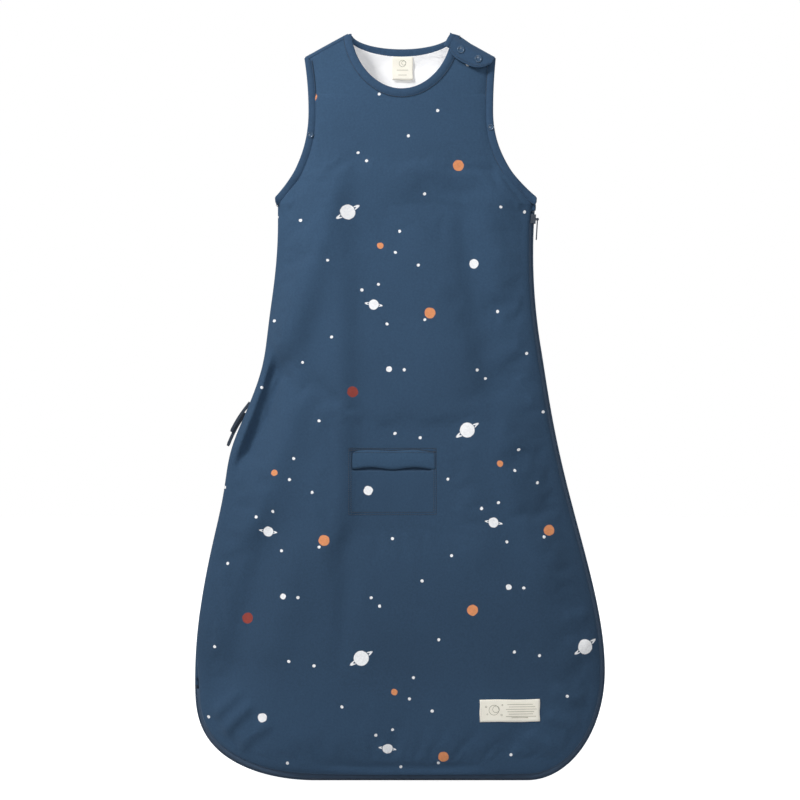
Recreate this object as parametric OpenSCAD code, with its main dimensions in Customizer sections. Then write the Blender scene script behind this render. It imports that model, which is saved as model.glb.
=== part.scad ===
// Sleeveless baby sleeping bag, standing upright with its neck at the top.
// Millimetres. The origin is on the floor line under the middle of the hem, in the seam plane
// between the front and the back. +Z runs up to the shoulders, the front faces -Y, and the zip
// side is at +X.

/* [Outline] */
// Height of the shoulder crests above the hem
crest_z = 901; // [860:1:940]
// Half width of the bag where it is widest, near the hem
hem_half = 247.5; // [230:0.5:260]
// Half width of the zip side at the waist
right_waist = 160.8; // [150:0.2:170]
// Half width of the seam side at the waist
left_waist = 147.6; // [140:0.2:160]
// Height of the underarm points
underarm_z = 701; // [690:1:710]
// Height of the lowest point of the front neckline
neck_low_z = 832; // [825:1:840]
// Height of the lowest point of the back neckline
back_neck_low_z = 885; // [882:1:886]

/* [Fill] */
// How far the front stands off the seam plane over the legs
front_fill = 30; // [24:1:36]
// Height of the flat of the back above the seam plane
back_flat = 33; // [28:1:38]
// Thickness of one cloth shell
cloth_t = 1.5; // [1.2:0.1:1.8]

/* [Trims] */
// Width of the bindings at the neck and the armholes
binding_w = 10.5; // [9:0.5:12]
// Width of the strip outside the zip
lip_w = 5.3; // [5:0.1:6]
// Diameter of the shoulder press studs
shoulder_stud_d = 9.6; // [8:0.2:11]
// Diameter of the armhole press studs
armhole_stud_d = 8; // [7:0.2:9]

/* [Harness slots] */
// Height of the lower edge of the slots
slot_low_z = 375; // [371:1:380]
// Height of the upper edge of the slots
slot_top_z = 397; // [394:1:398]
// Middle of the slots across the bag
slot_mid_x = -9; // [-15:1:5]
// Half length of the slots
slot_half = 48.5; // [40:0.5:50]

/* [Zip] */
// Radius of the curve of the zip side under the arm
zip_arc_r = 700; // [660:10:760]
// Height at which that curve is nearest the middle
waist_z = 636; // [630:1:645]
// Height of the middle of the closed slider
slider_z = 677; // [670:1:680]
// Radius of the eye in the pull tab
eye_r = 1.6; // [1.4:0.1:1.8]

/* [Hidden] */

cloth_colour = [0.17, 0.27, 0.37];
lining_colour = [0.93, 0.93, 0.94];
label_colour = [0.90, 0.87, 0.78];
metal_colour = [0.55, 0.57, 0.60];

mid_x = 2;                    // middle of the neckline
seam_gap = 2;                 // from the seam plane to the edge of each cloth shell
right_corner = [94, 132, 2];  // width, height and power of the rounded hem corner on the zip side
left_corner = [145, 123, 3];  // and on the seam side, which is squarer at its side
left_waist_z = 672;
zip_curve_low_z = 520;        // below this the zip side leaves its arc
hip_power = 1.2;              // how late the hip fills out below that arc
zip_end_z = 111;              // the zip ends here, past the seam side's hem corner
zip_top_z = 690;
left_inset = 0.5;             // cloth edge on the plain side seam

arm_in_z = 806;               // height where the shoulders are narrowest
right_arm_in = 112;
left_arm_in = 110;
shoulder_out = 115.5;         // outer end of the shoulder line
shoulder_low_z = 872;
underarm_rise = 165.6;        // half width at the zip side's underarm point
left_underarm = 151.2;
arm_power = 2.15;             // how quickly the armholes sweep out
neck_half = 60;
neck_power = 1.8;             // how round the neckline is at its bottom

fold_z = 435;                 // height where the opening corner's fold line meets the zip side
fold_gap = 0.6;               // each side of the fold line
far = 2000;

// Insets of the faces of the cloth layers from the outline, from the outside in.
shell_in = lip_w + cloth_t;
wadding_out = shell_in + 0.4;
wadding_in = wadding_out + 2.4;
lining_out = wadding_in + 0.4;
lining_in = lining_out + cloth_t;

function mix(a, b, t) = a + (b - a) * t;
function clamp(t) = min(1, max(0, t));
function smooth(t) = let(c = clamp(t)) c * c * (3 - 2 * c);
function quarter(t) = sqrt(max(0, 1 - pow(1 - clamp(t), 2)));
function on_arc(z) = right_waist + zip_arc_r - sqrt(pow(zip_arc_r, 2) - pow(z - waist_z, 2));

// Half width of the rounded corner at a height, for a cloth edge drawn in by inset.
function corner_x(corner, z, inset) =
    let(drop = clamp((corner[1] - z) / (corner[1] - inset)))
    hem_half - inset - (corner[0] - inset) * (1 - sqrt(max(0, 1 - pow(drop, corner[2]))));

// The zip side below its arc: it leaves the arc smoothly and reaches the widest point.
function hip_x(z) =
    let(span = zip_curve_low_z - right_corner[1],
        t = (zip_curve_low_z - z) / span,
        slope = (waist_z - zip_curve_low_z) / zip_arc_r * span,
        start = on_arc(zip_curve_low_z))
    mix(start, hem_half, smooth(pow(t, hip_power))) + slope * t * pow(1 - t, 2);

function right_side(z, inset) =
    z < right_corner[1] ? corner_x(right_corner, z, inset) :
    z < zip_curve_low_z ? hip_x(z) - inset : on_arc(z) - inset;

// The seam side hangs a little in above the waist ties and a little out below them.
drape_w = 45;
drape_in = [500, -4.5];       // height and size of the dip
drape_out = [397, 6.8];       // and of the swell
function hump(z, at) = at[1] * exp(-pow((z - at[0]) / drape_w, 2));
function drape(z) = hump(z, drape_in) + hump(z, drape_out);

function left_side(z, inset) =
    z < left_corner[1] ? corner_x(left_corner, z, inset) :
    mix(left_waist, hem_half, smooth((left_waist_z - z) / (left_waist_z - left_corner[1])))
    + drape(z) - inset;

// The armhole edge: narrowest below the shoulder, sweeping out to the underarm point.
function armhole(z, narrow, underarm) =
    z > arm_in_z ? mix(narrow, shoulder_out, pow((z - arm_in_z) / (shoulder_low_z - arm_in_z), 2)) :
    mix(narrow, underarm, pow((arm_in_z - z) / (arm_in_z - underarm_z), arm_power));

function armhole_edge(side, z) =
    side > 0 ? armhole(z, right_arm_in, underarm_rise) : armhole(z, left_arm_in, left_underarm);

// The panels stop short of the armhole edge by the width of the binding.
arm_shift_z = 4.5;
function panel_armhole(side, z, inset) = armhole_edge(side, z + arm_shift_z) - binding_w - inset;

// Half width of a cloth layer on one side of the middle, at a height.
function half_width(side, z, inset) =
    z > underarm_z - arm_shift_z ? panel_armhole(side, z, inset - min(inset, lip_w)) :
    side > 0 ? right_side(z, inset) : left_side(z, inset - left_ease(z));
// The zip's inset fades out above the end of the zip on the plain seam side.
ease_len = 60;
function left_ease(z) = (lip_w - left_inset) * smooth((z - zip_end_z) / ease_len);

// Half width of the neck opening at a height, for an edge that is drawn out by shift.
function neck_x(z, low_z, half, shift) =
    let(t = clamp((crest_z - z) / (crest_z - low_z + shift)))
    (half + shift) * sqrt(1 - pow(t, neck_power));

// How full the bag is at a height, from 0 at the hem seam, through the legs, chest and straps.
leg_z = 300;
chest_z = 700;
chest_share = 0.66;
strap_z = 780;
strap_share = 0.12;
hem_round = 160;
function fill(z) =
    mix(1, chest_share, smooth((z - leg_z) / (chest_z - leg_z)))
    * quarter(z / hem_round)
    * mix(strap_share, 1, quarter(1 - clamp((z - strap_z) / (crest_z - strap_z))));

// How full it is across its width: shut at the side seams, open at the armholes.
arm_open_share = 0.5;
arm_open_len = 50;            // the height over which the edge opens
arm_open_low = 15;            // and how far below the underarm that starts
edge_powers = [2.6, 0.7];     // how square the fill is across the bag, and how blunt at its edge
function open_edge(z) = arm_open_share * smooth((z - underarm_z + arm_open_low) / arm_open_len);
function across(s, z) =
    mix(pow(max(0, 1 - pow(abs(s), edge_powers[0])), edge_powers[1]), 1, open_edge(z));

// Distance of the cloth from the seam plane; the back is cut off flat where it rests.
function front_y(s, z, k) = -seam_gap - front_fill * k * fill(z) * across(s, z);
back_bulge = 1.28;
function back_y(s, z, k) =
    seam_gap + (back_flat - seam_gap) * k * min(1, back_bulge * fill(z) * across(s, z));

// How far across its side of the bag a point is, from 0 at the middle to 1 at the cloth's edge.
function share_at(side, x, z, inset) =
    clamp(side * (x - mid_x) / (half_width(side, z, inset) - side * mid_x));
function side_of(x) = x < mid_x ? -1 : 1;
function front_at(x, z) = front_y(share_at(side_of(x), x, z, lip_w), z, 1);
function back_at(x, z) = back_y(share_at(side_of(x), x, z, lip_w), z, 1);

// ---- cloth layers ----------------------------------------------------------------------------
shares = [0, 0.28, 0.52, 0.74, 0.89, 0.97, 1];
last = len(shares) - 1;
corner_steps = 6;
side_rows = [150, 195, 250, 310, 375, 440, 500, 560, 615, 655, 684, 697, 707, 720, 740, 765, 790,
             812, 835, 855];
strap_steps = 6;
strap_power = 1.8;            // draws the strap rows together at the bottom of the neckline
row_room = 4;                 // least distance from a side row to the bottom of the neckline
strap_down = 3;               // the cloth stops this far below the shoulder line

function row_heights(inset, low_z) = concat(
    [for (i = [0 : corner_steps - 1])
        right_corner[1] - (right_corner[1] - inset) * cos(90 * i / corner_steps)],
    [for (z = side_rows) if (z < low_z - binding_w - row_room) z],
    [low_z - binding_w]);

// A strap row runs straight from the neck edge to the armhole edge.
function strap_point(side, f, share, low_z, half, inset) =
    let(base = low_z - binding_w,
        z_in = mix(base, crest_z - strap_down, f),
        z_out = mix(base, shoulder_low_z - strap_down, f),
        x_in = mid_x * side + neck_x(z_in, low_z, half, binding_w),
        x_out = half_width(side, z_out, inset))
    let(x = side * mix(x_in, x_out, share), z = mix(z_in, z_out, share))
    [x, z, share_at(side, x, z, inset)];

function body_point(side, z, share, inset) =
    [mid_x + side * (half_width(side, z, inset) - side * mid_x) * share, z, share];

// Rows of [x, z, share] from the hem to the crests; each row runs from -X to +X, and the middle
// point is there twice, because the neckline parts the two straps above it.
function layer_rows(inset, low_z, half) = concat(
    [for (z = row_heights(inset, low_z)) concat(
        [for (i = [0 : last]) body_point(-1, z, shares[last - i], inset)],
        [for (i = [0 : last]) body_point(1, z, shares[i], inset)])],
    [for (k = [1 : strap_steps]) let(f = pow(k / strap_steps, strap_power)) concat(
        [for (i = [0 : last]) strap_point(-1, f, shares[last - i], low_z, half, inset)],
        [for (i = [0 : last]) strap_point(1, f, shares[i], low_z, half, inset)])]);

function split(quad) = [[quad[0], quad[1], quad[2]], [quad[0], quad[2], quad[3]]];
function flip(faces, back) = back ? [for (f = faces) [f[2], f[1], f[0]]] : faces;

// One closed cloth layer between an outer and an inner surface.
module layer(back, inset_out, inset_in, k_out, k_in, low_z, half) {
    columns = 2 * last + 2;
    rows_out = layer_rows(inset_out, low_z, half);
    rows_in = layer_rows(inset_in, low_z, half);
    rows = len(rows_out);
    joined = rows - strap_steps - 1;    // the last row that crosses the middle
    count = rows * columns;
    function depth(p, k) = back ? back_y(p[2], p[1], k) : front_y(p[2], p[1], k);
    function at(r, c) = r * columns + (c == last + 1 && r <= joined ? last : c);
    function quads(r, c) = [
        [at(r, c), at(r + 1, c), at(r + 1, c + 1), at(r, c + 1)],
        [at(r, c) + count, at(r, c + 1) + count, at(r + 1, c + 1) + count, at(r + 1, c) + count]];
    function wall(a, b) = [a, b, b + count, a + count];
    cells = [for (c = [0 : columns - 2]) if (c != last) c];
    points = concat(
        [for (row = rows_out) for (p = row) [p[0], depth(p, k_out), p[1]]],
        [for (row = rows_in) for (p = row) [p[0], depth(p, k_in), p[1]]]);
    faces = concat(
        [for (r = [0 : rows - 2]) for (c = cells) for (q = quads(r, c)) q],
        [for (c = cells) wall(at(0, c), at(0, c + 1))],
        [for (c = cells) wall(at(rows - 1, c + 1), at(rows - 1, c))],
        [for (r = [0 : rows - 2]) wall(at(r + 1, 0), at(r, 0))],
        [for (r = [0 : rows - 2]) wall(at(r, columns - 1), at(r + 1, columns - 1))],
        [for (r = [joined : rows - 2]) wall(at(r, last), at(r + 1, last))],
        [for (r = [joined : rows - 2]) wall(at(r + 1, last + 1), at(r, last + 1))]);
    polyhedron(points, flip([for (q = faces) for (t = split(q)) t], back));
}

// Everything to one side of the fold line: side 1 is the corner that opens, -1 is the rest.
module fold_half(side) {
    translate([right_side(fold_z, 0), 0, fold_z])
        rotate([0, -45, 0])
            translate([-far, -far / 2, side > 0 ? -far - fold_gap : fold_gap])
                cube([2 * far, far, far]);
}

module slot_hole() {
    translate([slot_mid_x - slot_half, -far / 2, slot_low_z])
        cube([2 * slot_half, far, slot_top_z - slot_low_z]);
}

module front_layer(inset_out, inset_in) {
    k_out = 1 - (inset_out - lip_w) / front_fill;
    k_in = 1 - (inset_in - lip_w) / front_fill;
    layer(false, inset_out, inset_in, k_out, k_in, neck_low_z, neck_half);
}

module back_layer(inset_out, inset_in) {
    k_out = 1 - (inset_out - lip_w) / back_flat;
    k_in = 1 - (inset_in - lip_w) / back_flat;
    layer(true, inset_out, inset_in, k_out, k_in, back_neck_low_z, neck_half);
}

module front_rest(inset_out, inset_in) {
    difference() {
        front_layer(inset_out, inset_in);
        fold_half(1);
        slot_hole();
    }
}

module front_corner(inset_out, inset_in) {
    intersection() {
        front_layer(inset_out, inset_in);
        fold_half(1);
    }
}

module back_whole(inset_out, inset_in) {
    difference() {
        back_layer(inset_out, inset_in);
        slot_hole();
    }
}

module front_shell() { color(cloth_colour) front_rest(lip_w, shell_in); }
module front_corner_shell() { color(cloth_colour) front_corner(lip_w, shell_in); }
module back_shell() { color(cloth_colour) back_whole(lip_w, shell_in); }
module front_wadding() { color("white") front_rest(wadding_out, wadding_in); }
module front_corner_wadding() { color("white") front_corner(wadding_out, wadding_in); }
module back_wadding() { color("white") back_whole(wadding_out, wadding_in); }
module front_lining() { color(lining_colour) front_rest(lining_out, lining_in); }
module front_corner_lining() { color(lining_colour) front_corner(lining_out, lining_in); }
module back_lining() { color(lining_colour) back_whole(lining_out, lining_in); }

// ---- strips that run along an edge ------------------------------------------------------------
// A closed bar through a list of four-cornered sections, whichever way round they are listed.
module bar(sections) {
    count = len(sections);
    first = sections[0];
    along = sections[1][0] - first[0];
    turned = cross(first[1] - first[0], first[2] - first[1]) * along > 0;
    quads = concat(
        [[3, 2, 1, 0], [for (j = [0 : 3]) (count - 1) * 4 + j]],
        [for (i = [0 : count - 2]) for (j = [0 : 3]) let(k = (j + 1) % 4)
            [i * 4 + j, i * 4 + k, i * 4 + 4 + k, i * 4 + 4 + j]]);
    polyhedron([for (s = sections) for (p = s) p], flip([for (q = quads) for (t = split(q)) t], turned));
}

// A section between two points of [x, z] and two depths.
function section(a, b, y0, y1) =
    [[a[0], y0, a[1]], [b[0], y0, b[1]], [b[0], y1, b[1]], [a[0], y1, a[1]]];

binding_cover = 0.86;         // share of the binding's width that its solid fills
binding_proud = 0.9;          // how far it stands outside the cloth
binding_back = 2.2;           // and inside it
binding_down = 1;             // its ends stop this far below the shoulder line
binding_steps = 9;

function neck_edge(side, f, low_z) =
    let(z = mix(low_z, crest_z - binding_down, f)) [mid_x + side * neck_x(z, low_z, neck_half, 0), z];
function neck_seam(side, f, low_z) =
    let(z = mix(low_z - binding_w, crest_z - strap_down, f))
    [mid_x + side * neck_x(z, low_z, neck_half, binding_w), z];

module neck_binding(back, low_z) {
    sections = [for (i = [-binding_steps : binding_steps])
        let(side = i < 0 ? -1 : 1,
            f = pow(abs(i) / binding_steps, strap_power),
            a = neck_edge(side, f, low_z),
            b = mix(a, neck_seam(side, f, low_z), binding_cover),
            y = back ? back_at(b[0], b[1]) : front_at(b[0], b[1]),
            out = back ? binding_proud : -binding_proud,
            in = back ? -binding_back : binding_back)
        section(a, b, y + out, y + in)];
    bar(sections);
}

arm_steps = 12;
module armhole_binding(side, back) {
    sections = [for (i = [0 : arm_steps])
        let(z = mix(underarm_z, shoulder_low_z - binding_down, i / arm_steps),
            a = [side * armhole_edge(side, z), z],
            seam = [side * panel_armhole(side, z - arm_shift_z, 0), z - arm_shift_z],
            b = mix(a, seam, binding_cover),
            y = back ? back_at(seam[0], seam[1]) : front_at(seam[0], seam[1]),
            out = back ? binding_proud : -binding_proud,
            in = back ? -binding_back : binding_back)
        section(a, b, y + out, y + in)];
    bar(sections);
}

module front_neck_binding() { color(cloth_colour) neck_binding(false, neck_low_z); }
module back_neck_binding() { color(cloth_colour) neck_binding(true, back_neck_low_z); }
module left_front_armhole_binding() { color(cloth_colour) armhole_binding(-1, false); }
module left_back_armhole_binding() { color(cloth_colour) armhole_binding(-1, true); }
module right_front_armhole_binding() { color(cloth_colour) armhole_binding(1, false); }
module right_back_armhole_binding() { color(cloth_colour) armhole_binding(1, true); }

// The shoulder tops: sewn through on the seam side, and the back strap's turn on the open side.
shoulder_top_h = 2.6;
shoulder_top_half = 4.4;
shoulder_top_in = [4, 2];     // clear of the neck edge and of the armhole edge
shoulder_top_rise = 1;        // of the outer end, over the armhole binding
module shoulder_top(side) {
    ends = [[side * (neck_half + shoulder_top_in[0]), crest_z],
            [side * (shoulder_out - shoulder_top_in[1]), shoulder_low_z + shoulder_top_rise]];
    down = [0, shoulder_top_h];
    bar([for (p = ends) section(p, p - down, -shoulder_top_half, shoulder_top_half)]);
}
module left_shoulder_seam() { color(cloth_colour) shoulder_top(-1); }
module right_shoulder_turn() { color(cloth_colour) shoulder_top(1); }

// The plain side seam's allowance, between the front and the back.
seam_allowance = 9;
seam_half_t = 1.6;
seam_clear = [12, 14];        // clear of the zip's end and of the underarm
seam_steps = 16;
module left_side_seam() {
    sections = [for (i = [0 : seam_steps])
        let(z = mix(zip_end_z + seam_clear[0], underarm_z - seam_clear[1], i / seam_steps))
        section([-left_side(z, left_inset), z], [-left_side(z, seam_allowance), z],
                -seam_half_t, seam_half_t)];
    color(cloth_colour) bar(sections);
}

// ---- zip ---------------------------------------------------------------------------------------
// The zip's line: down the zip side, round the hem and up to its end past the far corner, drawn
// in from the outline by inset.
zip_side_steps = 22;
zip_corner_steps = 9;
zip_start_z = zip_top_z - 7;
function zip_line(inset) =
    let(right_mid = hem_half - right_corner[0],
        left_mid = hem_half - left_corner[0],
        end_drop = (left_corner[1] - zip_end_z) / (left_corner[1] - inset),
        end_angle = asin(pow(end_drop, left_corner[2] / 2)))
    concat(
        [for (i = [0 : zip_side_steps - 1])
            let(z = mix(zip_start_z, right_corner[1], i / zip_side_steps)) [right_side(z, inset), z]],
        [for (i = [0 : zip_corner_steps]) let(a = 90 * i / zip_corner_steps)
            [right_mid + (right_corner[0] - inset) * cos(a),
             right_corner[1] - (right_corner[1] - inset) * sin(a)]],
        [[mid_x, inset]],
        [for (i = [0 : zip_corner_steps]) let(a = mix(90, end_angle, i / zip_corner_steps))
            [-left_mid - (left_corner[0] - inset) * cos(a),
             left_corner[1] - (left_corner[1] - inset) * pow(sin(a), 2 / left_corner[2])]]);

module zip_strip(inset_a, inset_b, y0, y1) {
    line_a = zip_line(inset_a);
    line_b = zip_line(inset_b);
    bar([for (i = [0 : len(line_a) - 1]) section(line_a[i], line_b[i], y0, y1)]);
}
module rest_of_front() { difference() { children(); fold_half(1); } }
module corner_of_front() { intersection() { children(); fold_half(1); } }

coil_out = 0.9;
coil_in = 2.4;
coil_t = 1.35;
coil_play = 0.1;              // from the seam plane to each coil
tape_out = coil_in + 0.2;
tape_in = 16;
tape_near = 0.75;             // from the seam plane to the tape's near face
tape_t = 0.7;
strip_near = 3.3;             // the cover strip runs behind the slider
strip_t = 1.9;
strip_in = lip_w - 0.4;
guard_in = 22;
guard_half_t = 0.4;

module front_tape() { zip_strip(tape_out, tape_in, -tape_near - tape_t, -tape_near); }
module front_coil() { zip_strip(coil_out, coil_in, -coil_play - coil_t, -coil_play); }
module zip_cover_strip() {
    color(cloth_colour) zip_strip(0, strip_in, strip_near, strip_near + strip_t);
}
module zip_guard() { color(cloth_colour) zip_strip(lip_w, guard_in, -guard_half_t, guard_half_t); }
module front_zip_tape() { color(cloth_colour) rest_of_front() front_tape(); }
module front_corner_zip_tape() { color(cloth_colour) corner_of_front() front_tape(); }
module back_zip_tape() {
    color(cloth_colour) zip_strip(tape_out, tape_in, tape_near, tape_near + tape_t);
}
module front_zip_coil() { color(cloth_colour) rest_of_front() front_coil(); }
module front_corner_zip_coil() { color(cloth_colour) corner_of_front() front_coil(); }
module back_zip_coil() {
    color(cloth_colour) zip_strip(coil_out, coil_in, coil_play, coil_play + coil_t);
}

// Places a child on the zip's arc at a height: its x points outwards from the bag's edge.
module on_zip_arc(z) {
    translate([right_waist + zip_arc_r, 0, waist_z])
        rotate([0, asin((z - waist_z) / zip_arc_r), 0])
            translate([-zip_arc_r, 0, 0])
                children();
}

slider_l = 11;
slider_half_t = 3;
slider_in = 4.5;
slider_out = 1.6;
channel_half = 1.8;
channel_out = 0.3;
crown_x = 3.7;                // the bar that the pull tab hangs on
crown_r = 0.8;
lug_t = 0.8;
lug_in = 2.2;
lug_half = 1.3;
over = 1;                     // how far a cutting shape runs past what it cuts

module zip_slider() {
    color(metal_colour) on_zip_arc(slider_z) {
        difference() {
            translate([-slider_in, -slider_half_t, -slider_l / 2])
                cube([slider_in + slider_out, 2 * slider_half_t, slider_l]);
            translate([-slider_in - over, -channel_half, -slider_l])
                cube([slider_in + over - channel_out, 2 * channel_half, 2 * slider_l]);
        }
        for (side = [-1, 1])
            translate([slider_out, side * (lug_in + lug_t / 2) - lug_t / 2, -lug_half])
                cube([crown_x - slider_out + lug_half, lug_t, 2 * lug_half]);
        translate([crown_x, lug_in + lug_t / 2, 0])
            rotate([90, 0, 0])
                cylinder(r = crown_r, h = 2 * lug_in + lug_t, $fn = 32);
    }
}

knuckle_r = 1.7;
knuckle_half = 1.9;
running_play = 0.06;
tab_half_w = 3;
tab_half_t = 0.6;
tab_top = 3;
tab_end = 26;
eye_down = 22;

module zip_puller() {
    color(metal_colour) on_zip_arc(slider_z) translate([crown_x, 0, 0]) {
        difference() {
            union() {
                translate([0, knuckle_half, 0])
                    rotate([90, 0, 0])
                        cylinder(r = knuckle_r, h = 2 * knuckle_half, $fn = 32);
                translate([-tab_half_t, -knuckle_half, -tab_top - over])
                    cube([2 * tab_half_t, 2 * knuckle_half, tab_top + over]);
                translate([-tab_half_t, -tab_half_w, -eye_down])
                    cube([2 * tab_half_t, 2 * tab_half_w, eye_down - tab_top]);
                translate([-tab_half_t, 0, -eye_down])
                    rotate([0, 90, 0])
                        cylinder(r = tab_half_w, h = 2 * tab_half_t, $fn = 48);
            }
            translate([0, knuckle_half + over, 0])
                rotate([90, 0, 0])
                    cylinder(r = crown_r + running_play, h = 2 * (knuckle_half + over), $fn = 32);
            translate([-tab_half_t - over, 0, -eye_down])
                rotate([0, 90, 0])
                    cylinder(r = eye_r, h = 2 * (tab_half_t + over), $fn = 48);
        }
    }
}

stop_h = 1.8;
stop_z = zip_top_z - 5.4;
stop_play = 0.2;              // from the seam plane to each top stop
end_stop_rise = 1;            // over the end of the coils
module zip_top_stops() {
    stop_t = coil_t + 0.1;
    color(metal_colour) on_zip_arc(stop_z)
        for (y = [-stop_play - stop_t, stop_play])
            translate([-coil_in - 2 * stop_play, y, 0])
                cube([coil_in, stop_t, stop_h]);
}

module zip_end_stop() {
    color(metal_colour)
        translate([-hem_half + coil_out, -coil_t, zip_end_z + end_stop_rise])
            cube([coil_in, 2 * coil_t, 2 * stop_h]);
}

garage = [8.6, 3.2, 8];
garage_out = 0.6;             // past the bag's edge
garage_z = zip_top_z - 2.8;
module zip_garage() {
    color(cloth_colour) on_zip_arc(garage_z)
        translate([garage_out - garage[0], -garage[1] / 2, 0])
            cube(garage);
}

// ---- press studs -------------------------------------------------------------------------------
cap_t = 1.2;
touch = 0.1;                  // between pieces that lie against each other

// The shoulder tab: the back strap's end, turned over the crest and lying on the front strap.
tab_tilt = 9;                 // its lean, which follows the front strap
tab_top_y = -14;
tab_top_z = 898;
tab_t = 2;
tab_corner_r = 10;
tab_len = 60;
tab_w = 25;
crest_slope = atan((crest_z - shoulder_low_z) / (shoulder_out - neck_half));
tab_in_x = 61;                // inner end of the tab's top edge

// Places a child in the tab's own plane: x runs out along the crest, y to the front, z up.
module on_tab() {
    translate([tab_in_x, tab_top_y, tab_top_z])
        rotate([0, crest_slope, 0])
            rotate([-tab_tilt, 0, 0])
                children();
}

module shoulder_tab() {
    color(cloth_colour) on_tab()
        rotate([90, 0, 0])
            linear_extrude(tab_t)
                union() {
                    translate([0, -tab_w + tab_corner_r])
                        square([tab_len, tab_w - tab_corner_r]);
                    translate([tab_corner_r, -tab_w])
                        square([tab_len - 2 * tab_corner_r, tab_w]);
                    for (x = [tab_corner_r, tab_len - tab_corner_r])
                        translate([x, -tab_w + tab_corner_r])
                            circle(r = tab_corner_r, $fn = 48);
                }
}

shoulder_stud_x = [19.5, 43];   // along the tab
shoulder_stud_down = 12.5;
module at_shoulder_studs(y) {
    on_tab()
        for (x = shoulder_stud_x)
            translate([x, y, -shoulder_stud_down])
                rotate([90, 0, 0])
                    children();
}

socket_r = 4.2;
socket_hole_r = 2;
socket_t = 1;
stud_base_r = 4;
stud_base_t = 0.6;
stud_r = 1.1;
stud_h = 1;
stud_gap = 1.5;               // from the tab to the strap's studs under it
module ring(outer, inner, h) {
    difference() {
        cylinder(r = outer, h = h, $fn = 48);
        translate([0, 0, -over])
            cylinder(r = inner, h = h + 2 * over, $fn = 32);
    }
}

// A stud: its base and the pin that snaps into the socket.
module stud(base_r) {
    cylinder(r = base_r, h = stud_base_t, $fn = 48);
    cylinder(r = stud_r, h = stud_base_t + stud_h, $fn = 32);
}

cap_rim_t = 0.72;             // thickness of a cap's rim
cap_step = 0.7;               // its raised middle's share of its diameter
module cap(d) {
    cylinder(d = d, h = cap_rim_t, $fn = 48);
    cylinder(d = d * cap_step, h = cap_t, $fn = 48);
}

module shoulder_stud_caps() { color(metal_colour) at_shoulder_studs(-tab_t - touch) cap(shoulder_stud_d); }
module shoulder_stud_sockets() {
    color(metal_colour) at_shoulder_studs(socket_t + touch) ring(socket_r, socket_hole_r, socket_t);
}
module shoulder_studs() {
    color(metal_colour) at_shoulder_studs(stud_gap + stud_base_t) stud(stud_base_r);
}

arm_stud_z = [777, 786];      // on the seam side and on the zip side
arm_stud_out = 0.6;           // from the middle of the binding
arm_stud_gap = touch + 0.2;   // from the binding's faces
arm_socket_in = 0.4;          // a socket's edge inside its cap's
arm_socket_hole_r = socket_hole_r - 0.2;
module at_armhole_studs(back, y) {
    for (side = [-1, 1]) {
        z = arm_stud_z[side > 0 ? 1 : 0];
        x = side * (armhole_edge(side, z) - binding_w / 2 + arm_stud_out);
        seam_x = side * panel_armhole(side, z - arm_shift_z, 0);
        skin_y = back ? back_at(seam_x, z - arm_shift_z) : front_at(seam_x, z - arm_shift_z);
        translate([x, skin_y + y, z])
            rotate([90, 0, 0])
                children();
    }
}
module armhole_stud_caps() {
    color(metal_colour) at_armhole_studs(false, -binding_proud - arm_stud_gap) cap(armhole_stud_d);
}
module armhole_stud_sockets() {
    color(metal_colour) at_armhole_studs(false, binding_back + arm_stud_gap + socket_t)
        ring(armhole_stud_d / 2 - arm_socket_in, arm_socket_hole_r, socket_t);
}
module armhole_studs() {
    color(metal_colour) at_armhole_studs(true, -binding_back - arm_stud_gap)
        stud(armhole_stud_d / 2 - arm_socket_in);
}

// ---- harness slots -----------------------------------------------------------------------------
// A sheet that follows the cloth between two offsets from its outer face.
sheet_steps = 6;
module sheet(back, x0, x1, z0, z1, off0, off1) {
    wide = sheet_steps + 1;
    count = wide * wide;
    top = sheet_steps;
    steps = [0 : sheet_steps - 1];
    function skin(x, z) = back ? back_at(x, z) : front_at(x, z);
    function at(r, c) = r * wide + c;
    function wall(a, b) = [a, b, b + count, a + count];
    points = [for (off = [off0, off1]) for (i = [0 : top]) for (j = [0 : top])
        let(x = mix(x0, x1, j / top), z = mix(z0, z1, i / top)) [x, skin(x, z) + off, z]];
    function near_quad(r, c) = [at(r, c), at(r + 1, c), at(r + 1, c + 1), at(r, c + 1)];
    function far_quad(r, c) = [for (i = [3 : -1 : 0]) near_quad(r, c)[i] + count];
    faces = concat(
        [for (r = steps) for (c = steps) near_quad(r, c)],
        [for (r = steps) for (c = steps) far_quad(r, c)],
        [for (c = steps) wall(at(0, c), at(0, c + 1))],
        [for (c = steps) wall(at(top, c + 1), at(top, c))],
        [for (r = steps) wall(at(r + 1, 0), at(r, 0))],
        [for (r = steps) wall(at(r, top), at(r + 1, top))]);
    polyhedron(points, [for (q = faces) for (t = split(q)) t]);
}

facing_half = 52;
facing_low_z = 322.5;
facing_top_z = 400;
facing_depth = [8.2, 9];      // behind the cloth's outer face
module facing(back) {
    near = back ? -facing_depth[1] : facing_depth[0];
    away = back ? -facing_depth[0] : facing_depth[1];
    difference() {
        sheet(back, slot_mid_x - facing_half, slot_mid_x + facing_half,
              facing_low_z, facing_top_z, near, away);
        slot_hole();
    }
}
module front_harness_facing() { color(cloth_colour) facing(false); }
module back_harness_facing() { color(cloth_colour) facing(true); }

welt_low_z = 379.5;
welt_top_z = 399;
welt_out = 3;
welt_in = 1;
module front_harness_welt() {
    color(cloth_colour)
        sheet(false, slot_mid_x - facing_half, slot_mid_x + facing_half, welt_low_z, welt_top_z,
              -welt_out, -welt_in);
}

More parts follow.
